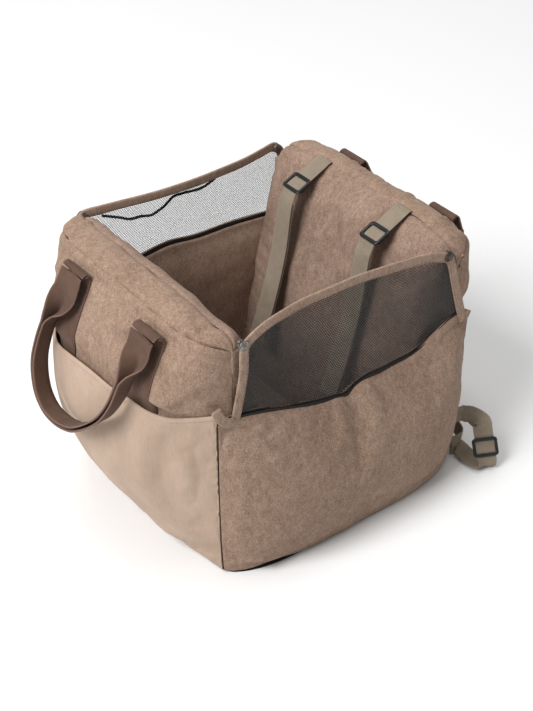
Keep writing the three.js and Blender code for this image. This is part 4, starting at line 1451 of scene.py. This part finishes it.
# ---- base ---------------------------------------------------------------------------------
def rounded(hx, hy, r, u, v):
    """Maps the square -1..1 to a rectangle with rounded corners."""
    cx, cy = np.clip(u * hx, -(hx - r), hx - r), np.clip(v * hy, -(hy - r), hy - r)
    dx, dy = (u * hx - cx) / r, (v * hy - cy) / r
    fx = dx * np.sqrt(np.maximum(1 - dy**2 / 2, 0))
    fy = dy * np.sqrt(np.maximum(1 - dx**2 / 2, 0))
    return cx + fx * r, cy + fy * r


def build_base():
    t = np.sin(np.linspace(-1, 1, 61) * math.pi / 2)
    u, v = np.meshgrid(t, t)
    x, y = rounded(FOOT, 164.0, 10, u, v)
    y = y * (1 + 26 / 164 * (1 - np.abs(x / FOOT) ** 5.4))
    grid = np.stack([x, y, 1.0 + 0 * x], axis=2)
    sheet = dress(slab("non_slip_sheet_cloth", grid, 1.9, 0.5), RUBBER)
    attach(sheet, "carrier")
    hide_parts("non_slip_sheet")
    x, y = rounded(73, 155, 12, u, v)
    crown = 15.5 - 3.5 * np.abs(u) ** 5 - 3.5 * np.abs(v) ** 5
    grid = np.stack([x, y, crown], axis=2)
    weights = np.zeros(x.shape)
    weights[[0, 1, -1, -2]] = 1
    weights[:, [0, 1, -1, -2]] = 1
    # the middle column is free from edge to edge
    weights[:, len(t) // 2] = 0
    # columns turned round, so that the normals point up
    top = simulate(grid, weights, pressure=2.0, cap=4.0)[:, ::-1]
    top = top + normals_of(top) * (waves(top, 91, 40) * 0.6)[..., None]
    low = top.copy()
    low[..., 2] = 6.2
    pad = dress(shell("floor_pad_cloth", top, low), SUEDE_IN)
    pad.data.uv_layers.new(name="UVMap")
    uv = grid_uv(top)
    set_uv(pad, np.concatenate([uv, uv]))
    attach(pad, "carrier")
    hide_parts("floor_pad")
    board = frame["nodes"]["base_board"]
    board.data.materials.clear()
    board.data.materials.append(moulded("base_board_plastic", srgb(58, 58, 60), 0.6))


build_base()


# ---- floor, light and camera --------------------------------------------------------------
def build_stage():
    mesh = bpy.data.meshes.new("floor")
    s = 6.0
    mesh.from_pydata([(-s, -s, 0), (s, -s, 0), (s, s, 0), (-s, s, 0)], [], [(0, 1, 2, 3)])
    floor = bpy.data.objects.new("floor", mesh)
    bpy.context.scene.collection.objects.link(floor)
    n = Nodes("pale_floor", 0.9)
    grey = n.noise(n.place(), 0.8, 2.0)
    n.finish(n.ramp(grey, [(0.3, (0.79, 0.79, 0.79)), (0.7, (0.81, 0.81, 0.81))]))
    floor.data.materials.append(n.material)
    world = bpy.data.worlds.new("studio")
    world.use_nodes = True
    sky = world.node_tree.nodes["Background"].inputs
    sky["Color"].default_value = (1.0, 1.0, 1.0, 1)
    sky["Strength"].default_value = 0.42
    bpy.context.scene.world = world
    for name, place, target, size, energy in (
        ("key", (-3.3, -0.2, 3.6), (0, 0, 0.15), 2.2, 250),
        ("top", (0.4, 0.9, 5.0), (0, 0, 0.2), 3.0, 92),
    ):
        light = bpy.data.lights.new(name, "AREA")
        light.size, light.energy = size, energy
        lamp = bpy.data.objects.new(name, light)
        bpy.context.scene.collection.objects.link(lamp)
        lamp.location = place
        lamp.rotation_mode = "QUATERNION"
        lamp.rotation_quaternion = (Vector(target) - Vector(place)).to_track_quat("-Z", "Y")


def build_camera():
    data = bpy.data.cameras.new("camera")
    data.lens, data.sensor_width = 70.31, 36.0
    data.clip_start, data.clip_end = 0.05, 50
    cam = bpy.data.objects.new("camera", data)
    bpy.context.scene.collection.objects.link(cam)
    cam.location = (-0.8341, -1.1265, 1.1782)
    cam.rotation_mode = "QUATERNION"
    cam.rotation_quaternion = Vector((0.4818, 0.6445, -0.5938)).to_track_quat("-Z", "Y")
    bpy.context.scene.camera = cam


build_stage()
build_camera()
bpy.context.scene.view_settings.view_transform = "Standard"
